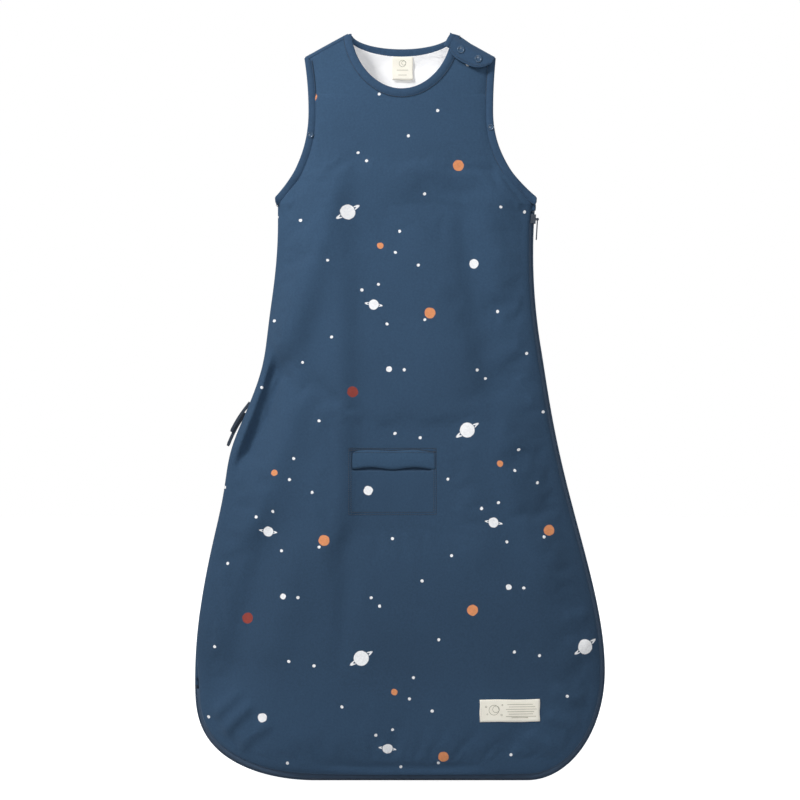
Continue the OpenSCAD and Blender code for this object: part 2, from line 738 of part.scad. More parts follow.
back_welt_t = 1.6;
back_welt_sunk = 0.4;         // below the flat that the bag rests on
slot_play = 1;
module back_harness_welt() {
    color(cloth_colour)
        translate([slot_mid_x - slot_half + slot_play, back_flat - back_welt_sunk - back_welt_t,
                   slot_low_z + slot_play])
            cube([2 * (slot_half - slot_play), back_welt_t, slot_top_z - slot_low_z - 2 * slot_play]);
}

// ---- labels and ties ---------------------------------------------------------------------------
neck_label_w = 25;
neck_label_h = 28;
neck_label_top_z = back_neck_low_z - 10;
neck_label_x = mid_x + 1;
neck_label_gap = 0.25;        // from the lining behind it
label_t = 0.5;
neck_label_y =
    back_y(0, neck_label_top_z, 1 - (lining_in - lip_w) / back_flat) - label_t - neck_label_gap;
module neck_label() {
    color(label_colour)
        translate([neck_label_x - neck_label_w / 2, neck_label_y, neck_label_top_z - neck_label_h])
            cube([neck_label_w, label_t, neck_label_h]);
}

hem_label_x = [95, 167];
hem_label_z = [75, 102];
hem_label_offs = [-1, -0.4];  // its faces, from the cloth's outer face
module hem_label() {
    color(label_colour)
        sheet(false, hem_label_x[0], hem_label_x[1], hem_label_z[0], hem_label_z[1],
              hem_label_offs[0], hem_label_offs[1]);
}

tie_w = 4;
tie_t = 1.2;
tie_gap = 0.4;                // from the seam plane to each tie
// A tape end that hangs from the plain side seam; lean is its angle from straight down.
module tie(pivot, length, lean, y) {
    color(cloth_colour)
        translate([pivot[0], y, pivot[1]])
            rotate([0, lean, 0])
                translate([-tie_w / 2, 0, -length])
                    cube([tie_w, tie_t, length]);
}
module upper_waist_tie() { tie([-186, 451], 35, 30, -tie_t - tie_gap); }
module lower_waist_tie() { tie([-191.6, 438], 38, 25, tie_gap); }

front_shell();
front_corner_shell();
back_shell();
front_wadding();
front_corner_wadding();
back_wadding();
front_lining();
front_corner_lining();
back_lining();
front_neck_binding();
back_neck_binding();
left_front_armhole_binding();
left_back_armhole_binding();
right_front_armhole_binding();
right_back_armhole_binding();
left_shoulder_seam();
right_shoulder_turn();
left_side_seam();
shoulder_tab();
shoulder_stud_caps();
shoulder_stud_sockets();
shoulder_studs();
armhole_stud_caps();
armhole_stud_sockets();
armhole_studs();
zip_cover_strip();
zip_guard();
front_zip_tape();
front_corner_zip_tape();
back_zip_tape();
front_zip_coil();
front_corner_zip_coil();
back_zip_coil();
zip_slider();
zip_puller();
zip_top_stops();
zip_end_stop();
zip_garage();
front_harness_facing();
back_harness_facing();
front_harness_welt();
back_harness_welt();
neck_label();
hem_label();
upper_waist_tie();
lower_waist_tie();
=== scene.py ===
"""The looks of a baby sleeping bag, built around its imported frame.

Shapes are worked out in millimetres and become metres when a mesh is made. The front faces -Y, the
zip side is at +X, and side 1 means the zip side and side -1 the plain seam side.
"""

import functools
import math
import random

import bmesh
import bpy
import numpy as np
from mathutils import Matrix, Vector
from mathutils.bvhtree import BVHTree


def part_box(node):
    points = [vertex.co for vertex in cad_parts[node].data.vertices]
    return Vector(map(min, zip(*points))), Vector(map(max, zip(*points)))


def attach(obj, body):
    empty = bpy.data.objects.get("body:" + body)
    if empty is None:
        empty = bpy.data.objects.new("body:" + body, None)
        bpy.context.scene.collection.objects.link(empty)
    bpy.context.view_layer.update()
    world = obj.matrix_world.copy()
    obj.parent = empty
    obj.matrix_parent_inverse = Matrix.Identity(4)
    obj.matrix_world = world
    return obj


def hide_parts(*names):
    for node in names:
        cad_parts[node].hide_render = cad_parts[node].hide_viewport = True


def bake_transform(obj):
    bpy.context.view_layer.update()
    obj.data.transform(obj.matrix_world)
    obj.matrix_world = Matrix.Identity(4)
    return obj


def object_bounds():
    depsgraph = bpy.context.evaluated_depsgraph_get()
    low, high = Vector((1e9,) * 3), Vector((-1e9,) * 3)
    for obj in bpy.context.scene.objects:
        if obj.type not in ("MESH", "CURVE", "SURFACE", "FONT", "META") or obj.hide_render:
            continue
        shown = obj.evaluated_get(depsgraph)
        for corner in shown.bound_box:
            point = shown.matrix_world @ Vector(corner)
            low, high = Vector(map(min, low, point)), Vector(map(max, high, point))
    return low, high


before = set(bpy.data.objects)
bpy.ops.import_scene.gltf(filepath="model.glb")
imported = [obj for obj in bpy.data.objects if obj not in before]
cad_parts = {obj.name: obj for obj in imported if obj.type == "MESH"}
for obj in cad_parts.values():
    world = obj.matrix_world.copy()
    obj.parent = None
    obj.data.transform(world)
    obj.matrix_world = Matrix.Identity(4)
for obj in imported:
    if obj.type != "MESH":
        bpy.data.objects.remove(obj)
CAD_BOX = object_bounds()
MM = 0.001
FORWARD = np.array([0, -1.0, 0])


def cad(name):
    """The lowest and highest corner of a CAD node, in millimetres."""
    lo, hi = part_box(name)
    return lo / MM, hi / MM


# ---- the bag's outline, as the frame has it --------------------------------------------------
CREST_Z = CAD_BOX[1].z / MM
HEM_HALF = -CAD_BOX[0].x / MM
UNDERARM_Z = cad("left_front_armhole_binding")[0].z
BACK_FLAT = 33.0
FRONT_FILL = 30.0
CHEST_FILL = 0.66
CHEST_FROM_Z = 300.0
CHEST_SPAN = 400.0
HEM_ROUND = 160.0
STRAP_FROM_Z = 780.0
CREST_FILL = 0.12
ARM_OPEN = 0.5
ARM_OPEN_BELOW = 15.0
ARM_OPEN_SPAN = 50.0
EDGE_POWER = 2.6
EDGE_ROUND = 0.7
BACK_PLUMP = 1.28
BINDING_W = 10.5
LIP_W = 5.3
MID_X = 2.0
SEAM_GAP = 2.0
RIGHT_WAIST = 160.8
LEFT_WAIST = 147.6
LEFT_WAIST_Z = 672.0
WAIST_Z = 636.0
ZIP_ARC_R = 700.0
ZIP_CURVE_LOW_Z = 520.0
HIP_POWER = 1.2
RIGHT_CORNER = (94.0, 132.0, 2.0)
LEFT_CORNER = (145.0, 123.0, 3.0)
DRAPE_W = 45.0
DRAPES = ((500.0, -4.5), (397.0, 6.8))
NECK_LOW_Z = 832.0
BACK_NECK_LOW_Z = 885.0
NECK_HALF = 60.0
NECK_POWER = 1.8
ARM_IN_Z = 806.0
ARM_IN = {1: 112.0, -1: 110.0}
UNDERARM = {1: 165.6, -1: 151.2}
ARM_POWER = 2.15
SHOULDER_OUT = 115.5
SHOULDER_LOW_Z = 872.0
ARM_SHIFT_Z = 4.5
ZIP_TOP_Z = 690.0
ZIP_END_Z = 111.0
LEFT_INSET = 0.5
EASE_LEN = 60.0
FOLD_Z = 435.0
SLOT_LOW_Z = 375.0
SLOT_TOP_Z = 397.0
SLOT_MID_X = -9.0
SLOT_HALF = 48.5
TUCK = 3.0
HEM_RAISE = 3.5


def mix(a, b, t):
    return a + (b - a) * t


def smooth(t):
    c = np.clip(t, 0, 1)
    return c * c * (3 - 2 * c)


def quarter(t):
    return np.sqrt(np.maximum(0, 1 - (1 - np.clip(t, 0, 1)) ** 2))


def on_arc(z):
    return RIGHT_WAIST + ZIP_ARC_R - np.sqrt(ZIP_ARC_R**2 - (z - WAIST_Z) ** 2)


def corner_x(corner, z, inset):
    drop = np.clip((corner[1] - z) / (corner[1] - inset), 0, 1)
    return HEM_HALF - inset - (corner[0] - inset) * (1 - np.sqrt(1 - drop ** corner[2]))


def hip_x(z):
    span = ZIP_CURVE_LOW_Z - RIGHT_CORNER[1]
    t = np.clip((ZIP_CURVE_LOW_Z - z) / span, 0, 1)
    slope = (WAIST_Z - ZIP_CURVE_LOW_Z) / ZIP_ARC_R * span
    return mix(on_arc(ZIP_CURVE_LOW_Z), HEM_HALF, smooth(t**HIP_POWER)) + slope * t * (1 - t) ** 2


def drape(z):
    return sum(size * np.exp(-(((z - at) / DRAPE_W) ** 2)) for at, size in DRAPES)


def right_side(z, inset):
    upper = np.where(z < ZIP_CURVE_LOW_Z, hip_x(z), on_arc(z)) - inset
    return np.where(z < RIGHT_CORNER[1], corner_x(RIGHT_CORNER, z, inset), upper)


def left_side(z, inset):
    rise = smooth((LEFT_WAIST_Z - z) / (LEFT_WAIST_Z - LEFT_CORNER[1]))
    upper = mix(LEFT_WAIST, HEM_HALF, rise) + drape(z) - inset
    return np.where(z < LEFT_CORNER[1], corner_x(LEFT_CORNER, z, inset), upper)


def armhole(side, z):
    above = np.clip((z - ARM_IN_Z) / (SHOULDER_LOW_Z - ARM_IN_Z), 0, 2)
    below = np.clip((ARM_IN_Z - z) / (ARM_IN_Z - UNDERARM_Z), 0, 2)
    swept = mix(ARM_IN[side], UNDERARM[side], below**ARM_POWER)
    return np.where(z > ARM_IN_Z, mix(ARM_IN[side], SHOULDER_OUT, above**2), swept)


def panel_armhole(side, z, inset):
    return armhole(side, z + ARM_SHIFT_Z) - BINDING_W - inset


def half_width(side, z, inset):
    """Half width of a cloth layer on one side of the middle."""
    z = np.asarray(z, float)
    ease = (LIP_W - LEFT_INSET) * smooth((z - ZIP_END_Z) / EASE_LEN)
    body = right_side(z, inset) if side > 0 else left_side(z, inset - ease)
    return np.where(z > UNDERARM_Z - ARM_SHIFT_Z, panel_armhole(side, z, max(inset - LIP_W, 0)), body)


def neck_x(z, low_z, shift):
    t = np.clip((CREST_Z - z) / (CREST_Z - low_z + shift), 0, 1)
    return (NECK_HALF + shift) * np.sqrt(1 - t**NECK_POWER)


def fill(z):
    """How full the bag is at a height: round at the hem, thinner at the chest, thin at the straps."""
    body = mix(1, CHEST_FILL, smooth((z - CHEST_FROM_Z) / CHEST_SPAN)) * quarter(z / HEM_ROUND)
    up = np.clip((z - STRAP_FROM_Z) / (CREST_Z - STRAP_FROM_Z), 0, 1)
    return body * mix(CREST_FILL, 1, np.sqrt(1 - up**2))


def across(share, z):
    """How full it is from the middle, at 0, to the side seam, at 1; the armholes stay open."""
    opening = ARM_OPEN * smooth((z - UNDERARM_Z + ARM_OPEN_BELOW) / ARM_OPEN_SPAN)
    return opening + (1 - opening) * np.maximum(0, 1 - np.abs(share) ** EDGE_POWER) ** EDGE_ROUND


def front_y(share, z):
    return -SEAM_GAP - FRONT_FILL * fill(z) * across(share, z)


def back_y(share, z):
    return SEAM_GAP + (BACK_FLAT - SEAM_GAP) * np.minimum(1, BACK_PLUMP * fill(z) * across(share, z))


def share_at(side, x, z, inset=LIP_W):
    return np.clip(side * (x - MID_X) / (half_width(side, z, inset) - side * MID_X), 0, 1)


def skin_y(back, x, z):
    """Distance of the undraped cloth from the seam plane at a point."""
    side = -1 if x < MID_X else 1
    share = share_at(side, x, z)
    return float(back_y(share, z) if back else front_y(share, z))


# ---- meshes ----------------------------------------------------------------------------------
def make_mesh(name, points, faces, material, smooth_shade=True):
    """A mesh object from points in millimetres."""
    mesh = bpy.data.meshes.new(name)
    mesh.from_pydata([tuple(float(c) * MM for c in p) for p in points], [], faces)
    mesh.validate()
    mesh.update()
    mesh.materials.append(material)
    if smooth_shade:
        mesh.shade_smooth()
    made = bpy.data.objects.new(name, mesh)
    bpy.context.scene.collection.objects.link(made)
    return made


def grid_faces(rows, cols, closed=False):
    """Quads over a grid of points; closed joins the last column to the first."""
    faces = []
    for r in range(rows - 1):
        for c in range(cols if closed else cols - 1):
            d = (c + 1) % cols
            a = r * cols
            faces.append((a + c, a + d, a + cols + d, a + cols + c))
    return faces


def loft(sections):
    """Points and faces of a closed bar through equal rings of points, with flat ends."""
    rows, cols = len(sections), len(sections[0])
    points = [p for ring in sections for p in ring]
    faces = grid_faces(rows, cols, True)
    faces.append(tuple(reversed(range(cols))))
    faces.append(tuple((rows - 1) * cols + c for c in range(cols)))
    return points, faces


def closed_loft(sections):
    """Points and faces of a tube whose last ring joins its first one."""
    count = len(sections[0])
    points = [p for ring in sections for p in ring]
    faces = grid_faces(len(sections), count, True)
    base = (len(sections) - 1) * count
    faces += [(base + c, base + (c + 1) % count, (c + 1) % count, c) for c in range(count)]
    return points, faces


def two_faced(columns, rows, outer, inner):
    """A padded sheet: outer(u, v) and inner(u, v) give its two faces, joined round the border."""
    spots = [(c / columns, r / rows) for r in range(rows + 1) for c in range(columns + 1)]
    points = [outer(u, v) for u, v in spots] + [inner(u, v) for u, v in spots]
    count, width = len(spots), columns + 1
    faces = grid_faces(rows + 1, width)
    faces += [tuple(i + count for i in reversed(q)) for q in faces]
    border = list(range(columns))
    border += [r * width + columns for r in range(rows)]
    border += [rows * width + c for c in range(columns, 0, -1)]
    border += [r * width for r in range(rows, 0, -1)]
    faces += [(a, a + count, b + count, b) for a, b in zip(border, border[1:] + border[:1])]
    return points, faces


def merge(shapes):
    """One list of points and faces from several, whose faces count from zero."""
    points, faces = [], []
    for more, quads in shapes:
        start = len(points)
        points += list(more)
        faces += [tuple(i + start for i in q) for q in quads]
    return points, faces


def fix_normals(made):
    work = bmesh.new()
    work.from_mesh(made.data)
    bmesh.ops.recalc_face_normals(work, faces=work.faces)
    work.to_mesh(made.data)
    work.free()
    return made


def solid(name, shape, material, smooth_shade=True):
    """A closed mesh with its faces turned outwards."""
    return fix_normals(make_mesh(name, *shape, material, smooth_shade))


def settle(made, body, slot, *nodes):
    """Says which body a piece rides on and hides the CAD nodes it stands for; its kind of material, slot, is
    not used.
    """
    if body:
        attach(made, body)
    if nodes:
        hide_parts(*nodes)
    return made


def apply_modifiers(made):
    graph = bpy.context.evaluated_depsgraph_get()
    final = bpy.data.meshes.new_from_object(made.evaluated_get(graph))
    made.modifiers.clear()
    made.data = final
    return made


def turns(count):
    """Evenly spaced angles round a full turn."""
    return np.linspace(0, 2 * math.pi, count, endpoint=False)


def refined(made):
    """Rounds a piece with one step of subdivision."""
    finer = made.modifiers.new("finer", "SUBSURF")
    finer.levels = finer.render_levels = 1
    return apply_modifiers(made)


def unit(v):
    v = np.asarray(v, float)
    return v / max(np.linalg.norm(v), 1e-9)


def resample(points, step):
    """Points at an even spacing along a polyline, and the directions there."""
    points = np.asarray(points, float)
    lengths = np.linalg.norm(np.diff(points, axis=0), axis=1)
    along = np.concatenate([[0], np.cumsum(lengths)])
    count = max(2, int(round(along[-1] / step)) + 1)
    at = np.linspace(0, along[-1], count)
    even = np.stack([np.interp(at, along, points[:, k]) for k in range(3)], axis=1)
    return even, np.gradient(even, axis=0)


# ---- materials -------------------------------------------------------------------------------
def srgb(r, g, b):
    """A linear colour from the usual 0 to 255 values."""
    parts = [c / 255 for c in (r, g, b)]
    return tuple(c / 12.92 if c <= 0.04045 else ((c + 0.055) / 1.055) ** 2.4 for c in parts) + (1,)


NAVY = srgb(54, 81, 109)
# Painted light: the navy is painted darker below the chest and lighter again at the hem.
PAINTED_SHADE_LOW = 0.74
PAINTED_HEM_LIGHT = 1.4
WHITE_PRINT = srgb(250, 251, 253)
ORANGE_PRINT = srgb(228, 150, 103)
RED_PRINT = srgb(146, 66, 58)
LINING_WHITE = srgb(250, 250, 251)
CREAM = srgb(246, 242, 229)
LABEL_INK = srgb(150, 148, 128)
# A faint painted glow on the white lining lifts it out of the shade inside the bag.
LINING_PAINTED_GLOW = 0.09
# A faint painted glow on the cream labels lifts them out of shade.
LABEL_PAINTED_GLOW = 0.08


def node(tree, kind, inputs=None, **settings):
    """A shader node with its settings, and its inputs linked or set."""
    made = tree.nodes.new(kind)
    for key, value in settings.items():
        setattr(made, key, value)
    for key, value in (inputs or {}).items():
        if isinstance(value, bpy.types.NodeSocket):
            tree.links.new(value, made.inputs[key])
        else:
            made.inputs[key].default_value = value
    return made


def sums(tree, operation, *values):
    """The output of a math node."""
    made = node(tree, "ShaderNodeMath", dict(enumerate(values)), operation=operation)
    return made.outputs[0]


def vectors(tree, operation, *values):
    made = node(tree, "ShaderNodeVectorMath", dict(enumerate(values)), operation=operation)
    return made.outputs["Value" if operation in ("LENGTH", "DOT_PRODUCT") else "Vector"]


def scale_vector(tree, value, factor):
    """A colour or a place times a number."""
    if isinstance(value, tuple):
        value = value[:3]
    return node(tree, "ShaderNodeVectorMath", {0: value, "Scale": factor}, operation="SCALE").outputs[0]


def blend_colour(tree, factor, a, b, mode="MIX"):
    made = node(tree, "ShaderNodeMix", data_type="RGBA", blend_type=mode)
    for socket, value in zip((made.inputs[0], made.inputs[6], made.inputs[7]), (factor, a, b)):
        if isinstance(value, bpy.types.NodeSocket):
            tree.links.new(value, socket)
        else:
            socket.default_value = value
    return made.outputs[2]


def new_material(name):
    made = bpy.data.materials.new(name)
    made.use_nodes = True
    tree = made.node_tree
    tree.nodes.clear()
    output = tree.nodes.new("ShaderNodeOutputMaterial")
    shader = tree.nodes.new("ShaderNodeBsdfPrincipled")
    tree.links.new(shader.outputs[0], output.inputs[0])
    return made, tree, shader


def set_shader(tree, shader, values):
    for key, value in values.items():
        if isinstance(value, bpy.types.NodeSocket):
            tree.links.new(value, shader.inputs[key])
        else:
            shader.inputs[key].default_value = value


def noise(tree, place, scale, detail=2.0, roughness=0.5):
    made = node(tree, "ShaderNodeTexNoise",
                {"Vector": place, "Scale": scale, "Detail": detail, "Roughness": roughness})
    return made.outputs["Fac"]


def ramp_value(tree, value, low, high, out_low, out_high):
    made = node(tree, "ShaderNodeMapRange",
                {0: value, 1: low, 2: high, 3: out_low, 4: out_high}, clamp=True)
    return made.outputs[0]


def object_place(tree):
    return tree.nodes.new("ShaderNodeTexCoord").outputs["Object"]


def knit_height(tree, place, pitch=0.0011):
    """Height of a fine jersey knit: columns of small slanted loops."""
    x_wave = node(tree, "ShaderNodeTexWave",
                  {"Vector": place, "Scale": 0.314 / pitch, "Distortion": 0.6, "Detail": 1.0,
                   "Detail Scale": 3.0}, bands_direction="X", wave_type="BANDS")
    z_wave = node(tree, "ShaderNodeTexWave",
                  {"Vector": place, "Scale": 0.39 / pitch, "Distortion": 1.2, "Detail": 1.0,
                   "Detail Scale": 2.0}, bands_direction="Z", wave_type="BANDS")
    loops = sums(tree, "MULTIPLY", x_wave.outputs["Fac"], z_wave.outputs["Fac"])
    fuzz = noise(tree, place, 1500.0, 3.0, 0.7)
    return sums(tree, "MULTIPLY_ADD", fuzz, 0.6, loops)


def bump(tree, height, strength, distance, normal=None):
    inputs = {"Height": height, "Strength": strength, "Distance": distance}
    if normal is not None:
        inputs["Normal"] = normal
    return node(tree, "ShaderNodeBump", inputs).outputs[0]


def jersey_surface(tree, shader, colour, place, sheen=0.35):
    """Soft cotton jersey in a colour: knit, tiny lint, slow tone changes and a soft sheen."""
    tone = noise(tree, place, 9.0, 3.0, 0.55)
    mottle = noise(tree, place, 420.0, 3.0, 0.65)
    shade = ramp_value(tree, tone, 0.3, 0.7, 0.95, 1.05)
    speck = ramp_value(tree, mottle, 0.25, 0.75, 0.88, 1.12)
    both = sums(tree, "MULTIPLY", shade, speck)
    scaled = scale_vector(tree, colour, both)
    soft = bump(tree, noise(tree, place, 60.0, 2.0), 0.25, 0.0012)
    knit = bump(tree, knit_height(tree, place), 0.45, 0.0003, soft)
    set_shader(tree, shader, {
        "Base Color": scaled, "Roughness": 0.88, "Normal": knit, "Specular IOR Level": 0.25,
        "Sheen Weight": sheen, "Sheen Roughness": 0.45, "Sheen Tint": srgb(150, 170, 195)})


def painted_light_by_height(tree, colour):
    """Painted light on the navy: painted shade makes it deeper below the chest, so the top reads as lit from
    above, and painted light makes it a little paler again at the hem.
    """
    z = vectors(tree, "DOT_PRODUCT", object_place(tree), (0, 0, 1))
    painted_shade = ramp_value(tree, z, 0.2, 0.8, PAINTED_SHADE_LOW, 1.0)
    painted_hem_light = ramp_value(tree, z, 0.0, 0.14, PAINTED_HEM_LIGHT, 1.0)
    return scale_vector(tree, colour, sums(tree, "MULTIPLY", painted_shade, painted_hem_light))


def print_place(tree):
    """The rest place of each point of the cloth, in metres, as the print sees it."""
    return node(tree, "ShaderNodeUVMap", uv_map="print").outputs[0]


# The print repeats along two steps, in millimetres: a scatter of little stars, spots and planets.
STEP_B = (142.0, -260.0)
STEP_C = (-126.0, -271.0)
STARS = ((-25, 825), (45, 805), (10, 775), (-50, 755), (-40, 745), (30, 705), (120, 690), (150, 685),
         (0, 660), (-5, 635), (22, 620), (-85, 625), (-25, 597), (-45, 590), (-15, 550), (30, 555),
         (5, 495))
STAR_R = 1.8
ORANGE_SPOTS = ((36, 563, 6.4), (-23, 643, 3.7))
TWO_TONE_SPOT = (70, 740, 6.4)
WHITE_SPOTS = ((88, 622, 5.4), (-13, 496, 3.4))
PLANETS = ((-62, 683, 8.8, 13.4, 32), (-31, 573, 6.0, 9.2, -9))
PLANET_ROOM = (-0.168, 0.8)


def lattice(tree, place):
    """Turns a place in metres into steps along the print's two directions."""
    area = STEP_B[0] * STEP_C[1] - STEP_B[1] * STEP_C[0]
    row_b = (STEP_C[1] / area / MM, -STEP_C[0] / area / MM, 0)
    row_c = (-STEP_B[1] / area / MM, STEP_B[0] / area / MM, 0)
    b = vectors(tree, "DOT_PRODUCT", place, row_b)
    c = vectors(tree, "DOT_PRODUCT", place, row_c)
    return node(tree, "ShaderNodeCombineXYZ", {0: b, 1: c}).outputs[0]


def lattice_point(x, z):
    area = STEP_B[0] * STEP_C[1] - STEP_B[1] * STEP_C[0]
    return ((x * STEP_C[1] - z * STEP_C[0]) / area, (z * STEP_B[0] - x * STEP_B[1]) / area, 0)


def offset_group():
    """Node group: the shortest way in millimetres from the nearest copy of a motif's middle."""
    group = bpy.data.node_groups.new("motif_offset", "ShaderNodeTree")
    group.interface.new_socket("Lattice", in_out="INPUT", socket_type="NodeSocketVector")
    group.interface.new_socket("Middle", in_out="INPUT", socket_type="NodeSocketVector")
    group.interface.new_socket("Offset", in_out="OUTPUT", socket_type="NodeSocketVector")
    source = group.nodes.new("NodeGroupInput")
    sink = group.nodes.new("NodeGroupOutput")
    steps = vectors(group, "SUBTRACT", source.outputs[0], source.outputs[1])
    near = vectors(group, "WRAP", steps, (0.5, 0.5, 0.5), (-0.5, -0.5, -0.5))
    x = vectors(group, "DOT_PRODUCT", near, (STEP_B[0], STEP_C[0], 0))
    z = vectors(group, "DOT_PRODUCT", near, (STEP_B[1], STEP_C[1], 0))
    both = node(group, "ShaderNodeCombineXYZ", {0: x, 1: z}).outputs[0]
    group.links.new(both, sink.inputs[0])
    return group


def motif_offset(tree, group, steps, x, z):
    made = tree.nodes.new("ShaderNodeGroup")
    made.node_tree = group
    tree.links.new(steps, made.inputs[0])
    made.inputs[1].default_value = lattice_point(x, z)
    return made.outputs[0]


def disc(tree, offset, radius, edge=0.35):
    """1 inside a disc, 0 outside it."""
    length = vectors(tree, "LENGTH", offset)
    return ramp_value(tree, length, radius - edge, radius + edge, 1.0, 0.0)


def ring(tree, offset, half_length, angle):
    """1 on a thin flat ellipse that is turned by an angle in degrees."""
    turned = node(tree, "ShaderNodeVectorRotate",
                  {"Vector": offset, "Angle": -math.radians(angle)}, rotation_type="Z_AXIS").outputs[0]
    squeezed = vectors(tree, "MULTIPLY", turned, (1 / half_length, 5.2 / half_length, 0))
    away = sums(tree, "ABSOLUTE", sums(tree, "SUBTRACT", vectors(tree, "LENGTH", squeezed), 1.0))
    return ramp_value(tree, away, 0.10, 0.22, 1.0, 0.0)


def planet(tree, offset, radius, half_length, angle):
    """A disc with a ring that shows only beyond a thin gap round the disc."""
    body = disc(tree, offset, radius)
    clear = ramp_value(tree, vectors(tree, "LENGTH", offset), radius * 1.02, radius * 1.1, 0.0, 1.0)
    return sums(tree, "MAXIMUM", body, sums(tree, "MULTIPLY", ring(tree, offset, half_length, angle), clear))


def brightest(tree, masks):
    total = masks[0]
    for mask in masks[1:]:
        total = sums(tree, "MAXIMUM", total, mask)
    return total


def printed_colour(tree):
    """Navy cloth with its scattered print, whose edges wobble a little like hand-drawn ones."""
    place = print_place(tree)
    wobble = node(tree, "ShaderNodeTexNoise", {"Vector": place, "Scale": 160.0, "Detail": 1.0})
    centred = vectors(tree, "SUBTRACT", wobble.outputs["Color"], (0.5, 0.5, 0.5))
    shift = scale_vector(tree, centred, 0.0016)
    steps = lattice(tree, vectors(tree, "ADD", place, shift))
    group = offset_group()

    def offset(x, z):
        return motif_offset(tree, group, steps, x, z)

    def discs(spots):
        return [disc(tree, offset(x, z), r) for x, z, r in spots]

    stars = [disc(tree, offset(x, z), STAR_R, 0.3) for x, z in STARS]
    whites = discs(WHITE_SPOTS)
    planets = [planet(tree, offset(x, z), r, half, angle) for x, z, r, half, angle in PLANETS]
    x_place = vectors(tree, "DOT_PRODUCT", place, (1, 0, 0))
    z_place = vectors(tree, "DOT_PRODUCT", place, (0, 1, 0))
    clear_x = ramp_value(tree, x_place, PLANET_ROOM[0] - 0.0005, PLANET_ROOM[0] + 0.0005, 0.0, 1.0)
    clear_z = ramp_value(tree, z_place, PLANET_ROOM[1] - 0.001, PLANET_ROOM[1] + 0.001, 1.0, 0.0)
    clear = sums(tree, "MULTIPLY", clear_x, clear_z)
    planets = [sums(tree, "MULTIPLY", mask, clear) for mask in planets]
    oranges = discs(ORANGE_SPOTS)
    spot = discs([TWO_TONE_SPOT])[0]
    seam_side = ramp_value(tree, x_place, -0.001, 0.001, 1.0, 0.0)
    spot_colour = blend_colour(tree, seam_side, ORANGE_PRINT, RED_PRINT)
    whites_on = brightest(tree, stars + whites + planets)
    colour = blend_colour(tree, whites_on, painted_light_by_height(tree, NAVY), WHITE_PRINT)
    colour = blend_colour(tree, brightest(tree, oranges), colour, ORANGE_PRINT)
    return blend_colour(tree, spot, colour, spot_colour)


def printed_jersey():
    made, tree, shader = new_material("printed_jersey")
    jersey_surface(tree, shader, printed_colour(tree), object_place(tree))
    return made


def plain_jersey(name, colour):
    made, tree, shader = new_material(name)
    jersey_surface(tree, shader, painted_light_by_height(tree, colour), object_place(tree))
    return made


def lining_jersey(name, colour):
    """White jersey with a faint painted glow, which lifts it out of the shade inside the bag."""
    made, tree, shader = new_material(name)
    jersey_surface(tree, shader, colour, object_place(tree), 0.1)
    set_shader(tree, shader, {"Emission Color": colour, "Emission Strength": LINING_PAINTED_GLOW})
    return made


def woven_surface(name, colour, pitch, roughness=0.7, glow=0.0):
    """Plain weave: two crossing sets of bands."""
    made, tree, shader = new_material(name)
    place = object_place(tree)
    warp = node(tree, "ShaderNodeTexWave", {"Vector": place, "Scale": 0.314 / pitch},
                bands_direction="X").outputs["Fac"]
    weft = node(tree, "ShaderNodeTexWave", {"Vector": place, "Scale": 0.314 / pitch},
                bands_direction="Z").outputs["Fac"]
    height = sums(tree, "MAXIMUM", warp, weft)
    shade = ramp_value(tree, height, 0.0, 1.0, 0.86, 1.06)
    blotch = ramp_value(tree, noise(tree, place, 45.0), 0.3, 0.7, 0.94, 1.05)
    both = sums(tree, "MULTIPLY", shade, blotch)
    scaled = scale_vector(tree, colour, both)
    set_shader(tree, shader, {
        "Base Color": scaled, "Roughness": roughness, "Emission Color": colour,
        "Emission Strength": glow, "Normal": bump(tree, height, 0.5, pitch * 0.25), "Sheen Weight": 0.2})
    return made


def moulded_surface(name, colour, roughness, metal=0.0, coat=0.0):
    """Lacquered metal or moulded plastic with faint scuffs and a rolled texture."""
    made, tree, shader = new_material(name)
    place = object_place(tree)
    scuffs = noise(tree, place, 900.0, 4.0, 0.7)
    cloud = noise(tree, place, 120.0, 2.0)
    rough = ramp_value(tree, cloud, 0.3, 0.7, roughness * 0.85, roughness * 1.2)
    shade = ramp_value(tree, scuffs, 0.3, 0.8, 0.92, 1.1)
    scaled = scale_vector(tree, colour, shade)
    set_shader(tree, shader, {
        "Base Color": scaled, "Roughness": rough, "Metallic": metal, "Coat Weight": coat,
        "Normal": bump(tree, scuffs, 0.2, 0.0001)})
    return made


def stage_surface(name, colour, glow):
    """A pale matt surface that also glows a little for the camera only."""
    made, tree, shader = new_material(name)
    place = object_place(tree)
    grain = ramp_value(tree, noise(tree, place, 30.0), 0.3, 0.7, 0.99, 1.0)
    scaled = scale_vector(tree, colour, grain)
    seen = tree.nodes.new("ShaderNodeLightPath").outputs["Is Camera Ray"]
    set_shader(tree, shader, {
        "Base Color": scaled, "Roughness": 0.9, "Specular IOR Level": 0.1,
        "Emission Color": (1, 1, 1, 1), "Emission Strength": sums(tree, "MULTIPLY", seen, glow)})
    return made


CLOTH = printed_jersey()
BAND = plain_jersey("binding_jersey", srgb(52, 78, 106))
STRIP = plain_jersey("edge_strip_jersey", srgb(54, 81, 109))
INNER = lining_jersey("lining_jersey", LINING_WHITE)
# The facing is painted a darker navy than the cloth, as painted shade inside the slots.
FACING = plain_jersey("facing_jersey_painted_shade", srgb(44, 67, 92))
WELT = plain_jersey("welt_jersey", srgb(57, 86, 115))
THREAD = woven_surface("thread", srgb(44, 66, 90), 0.0004, 0.6)
# Dark thread as painted shade: it draws the shaded ditch along the bindings' seams and round the slots.
PAINTED_SHADE_THREAD = woven_surface("seam_thread_painted_shade", srgb(32, 49, 68), 0.0004, 0.7)
WHITE_THREAD = woven_surface("white_thread", srgb(235, 235, 235), 0.0004, 0.6)
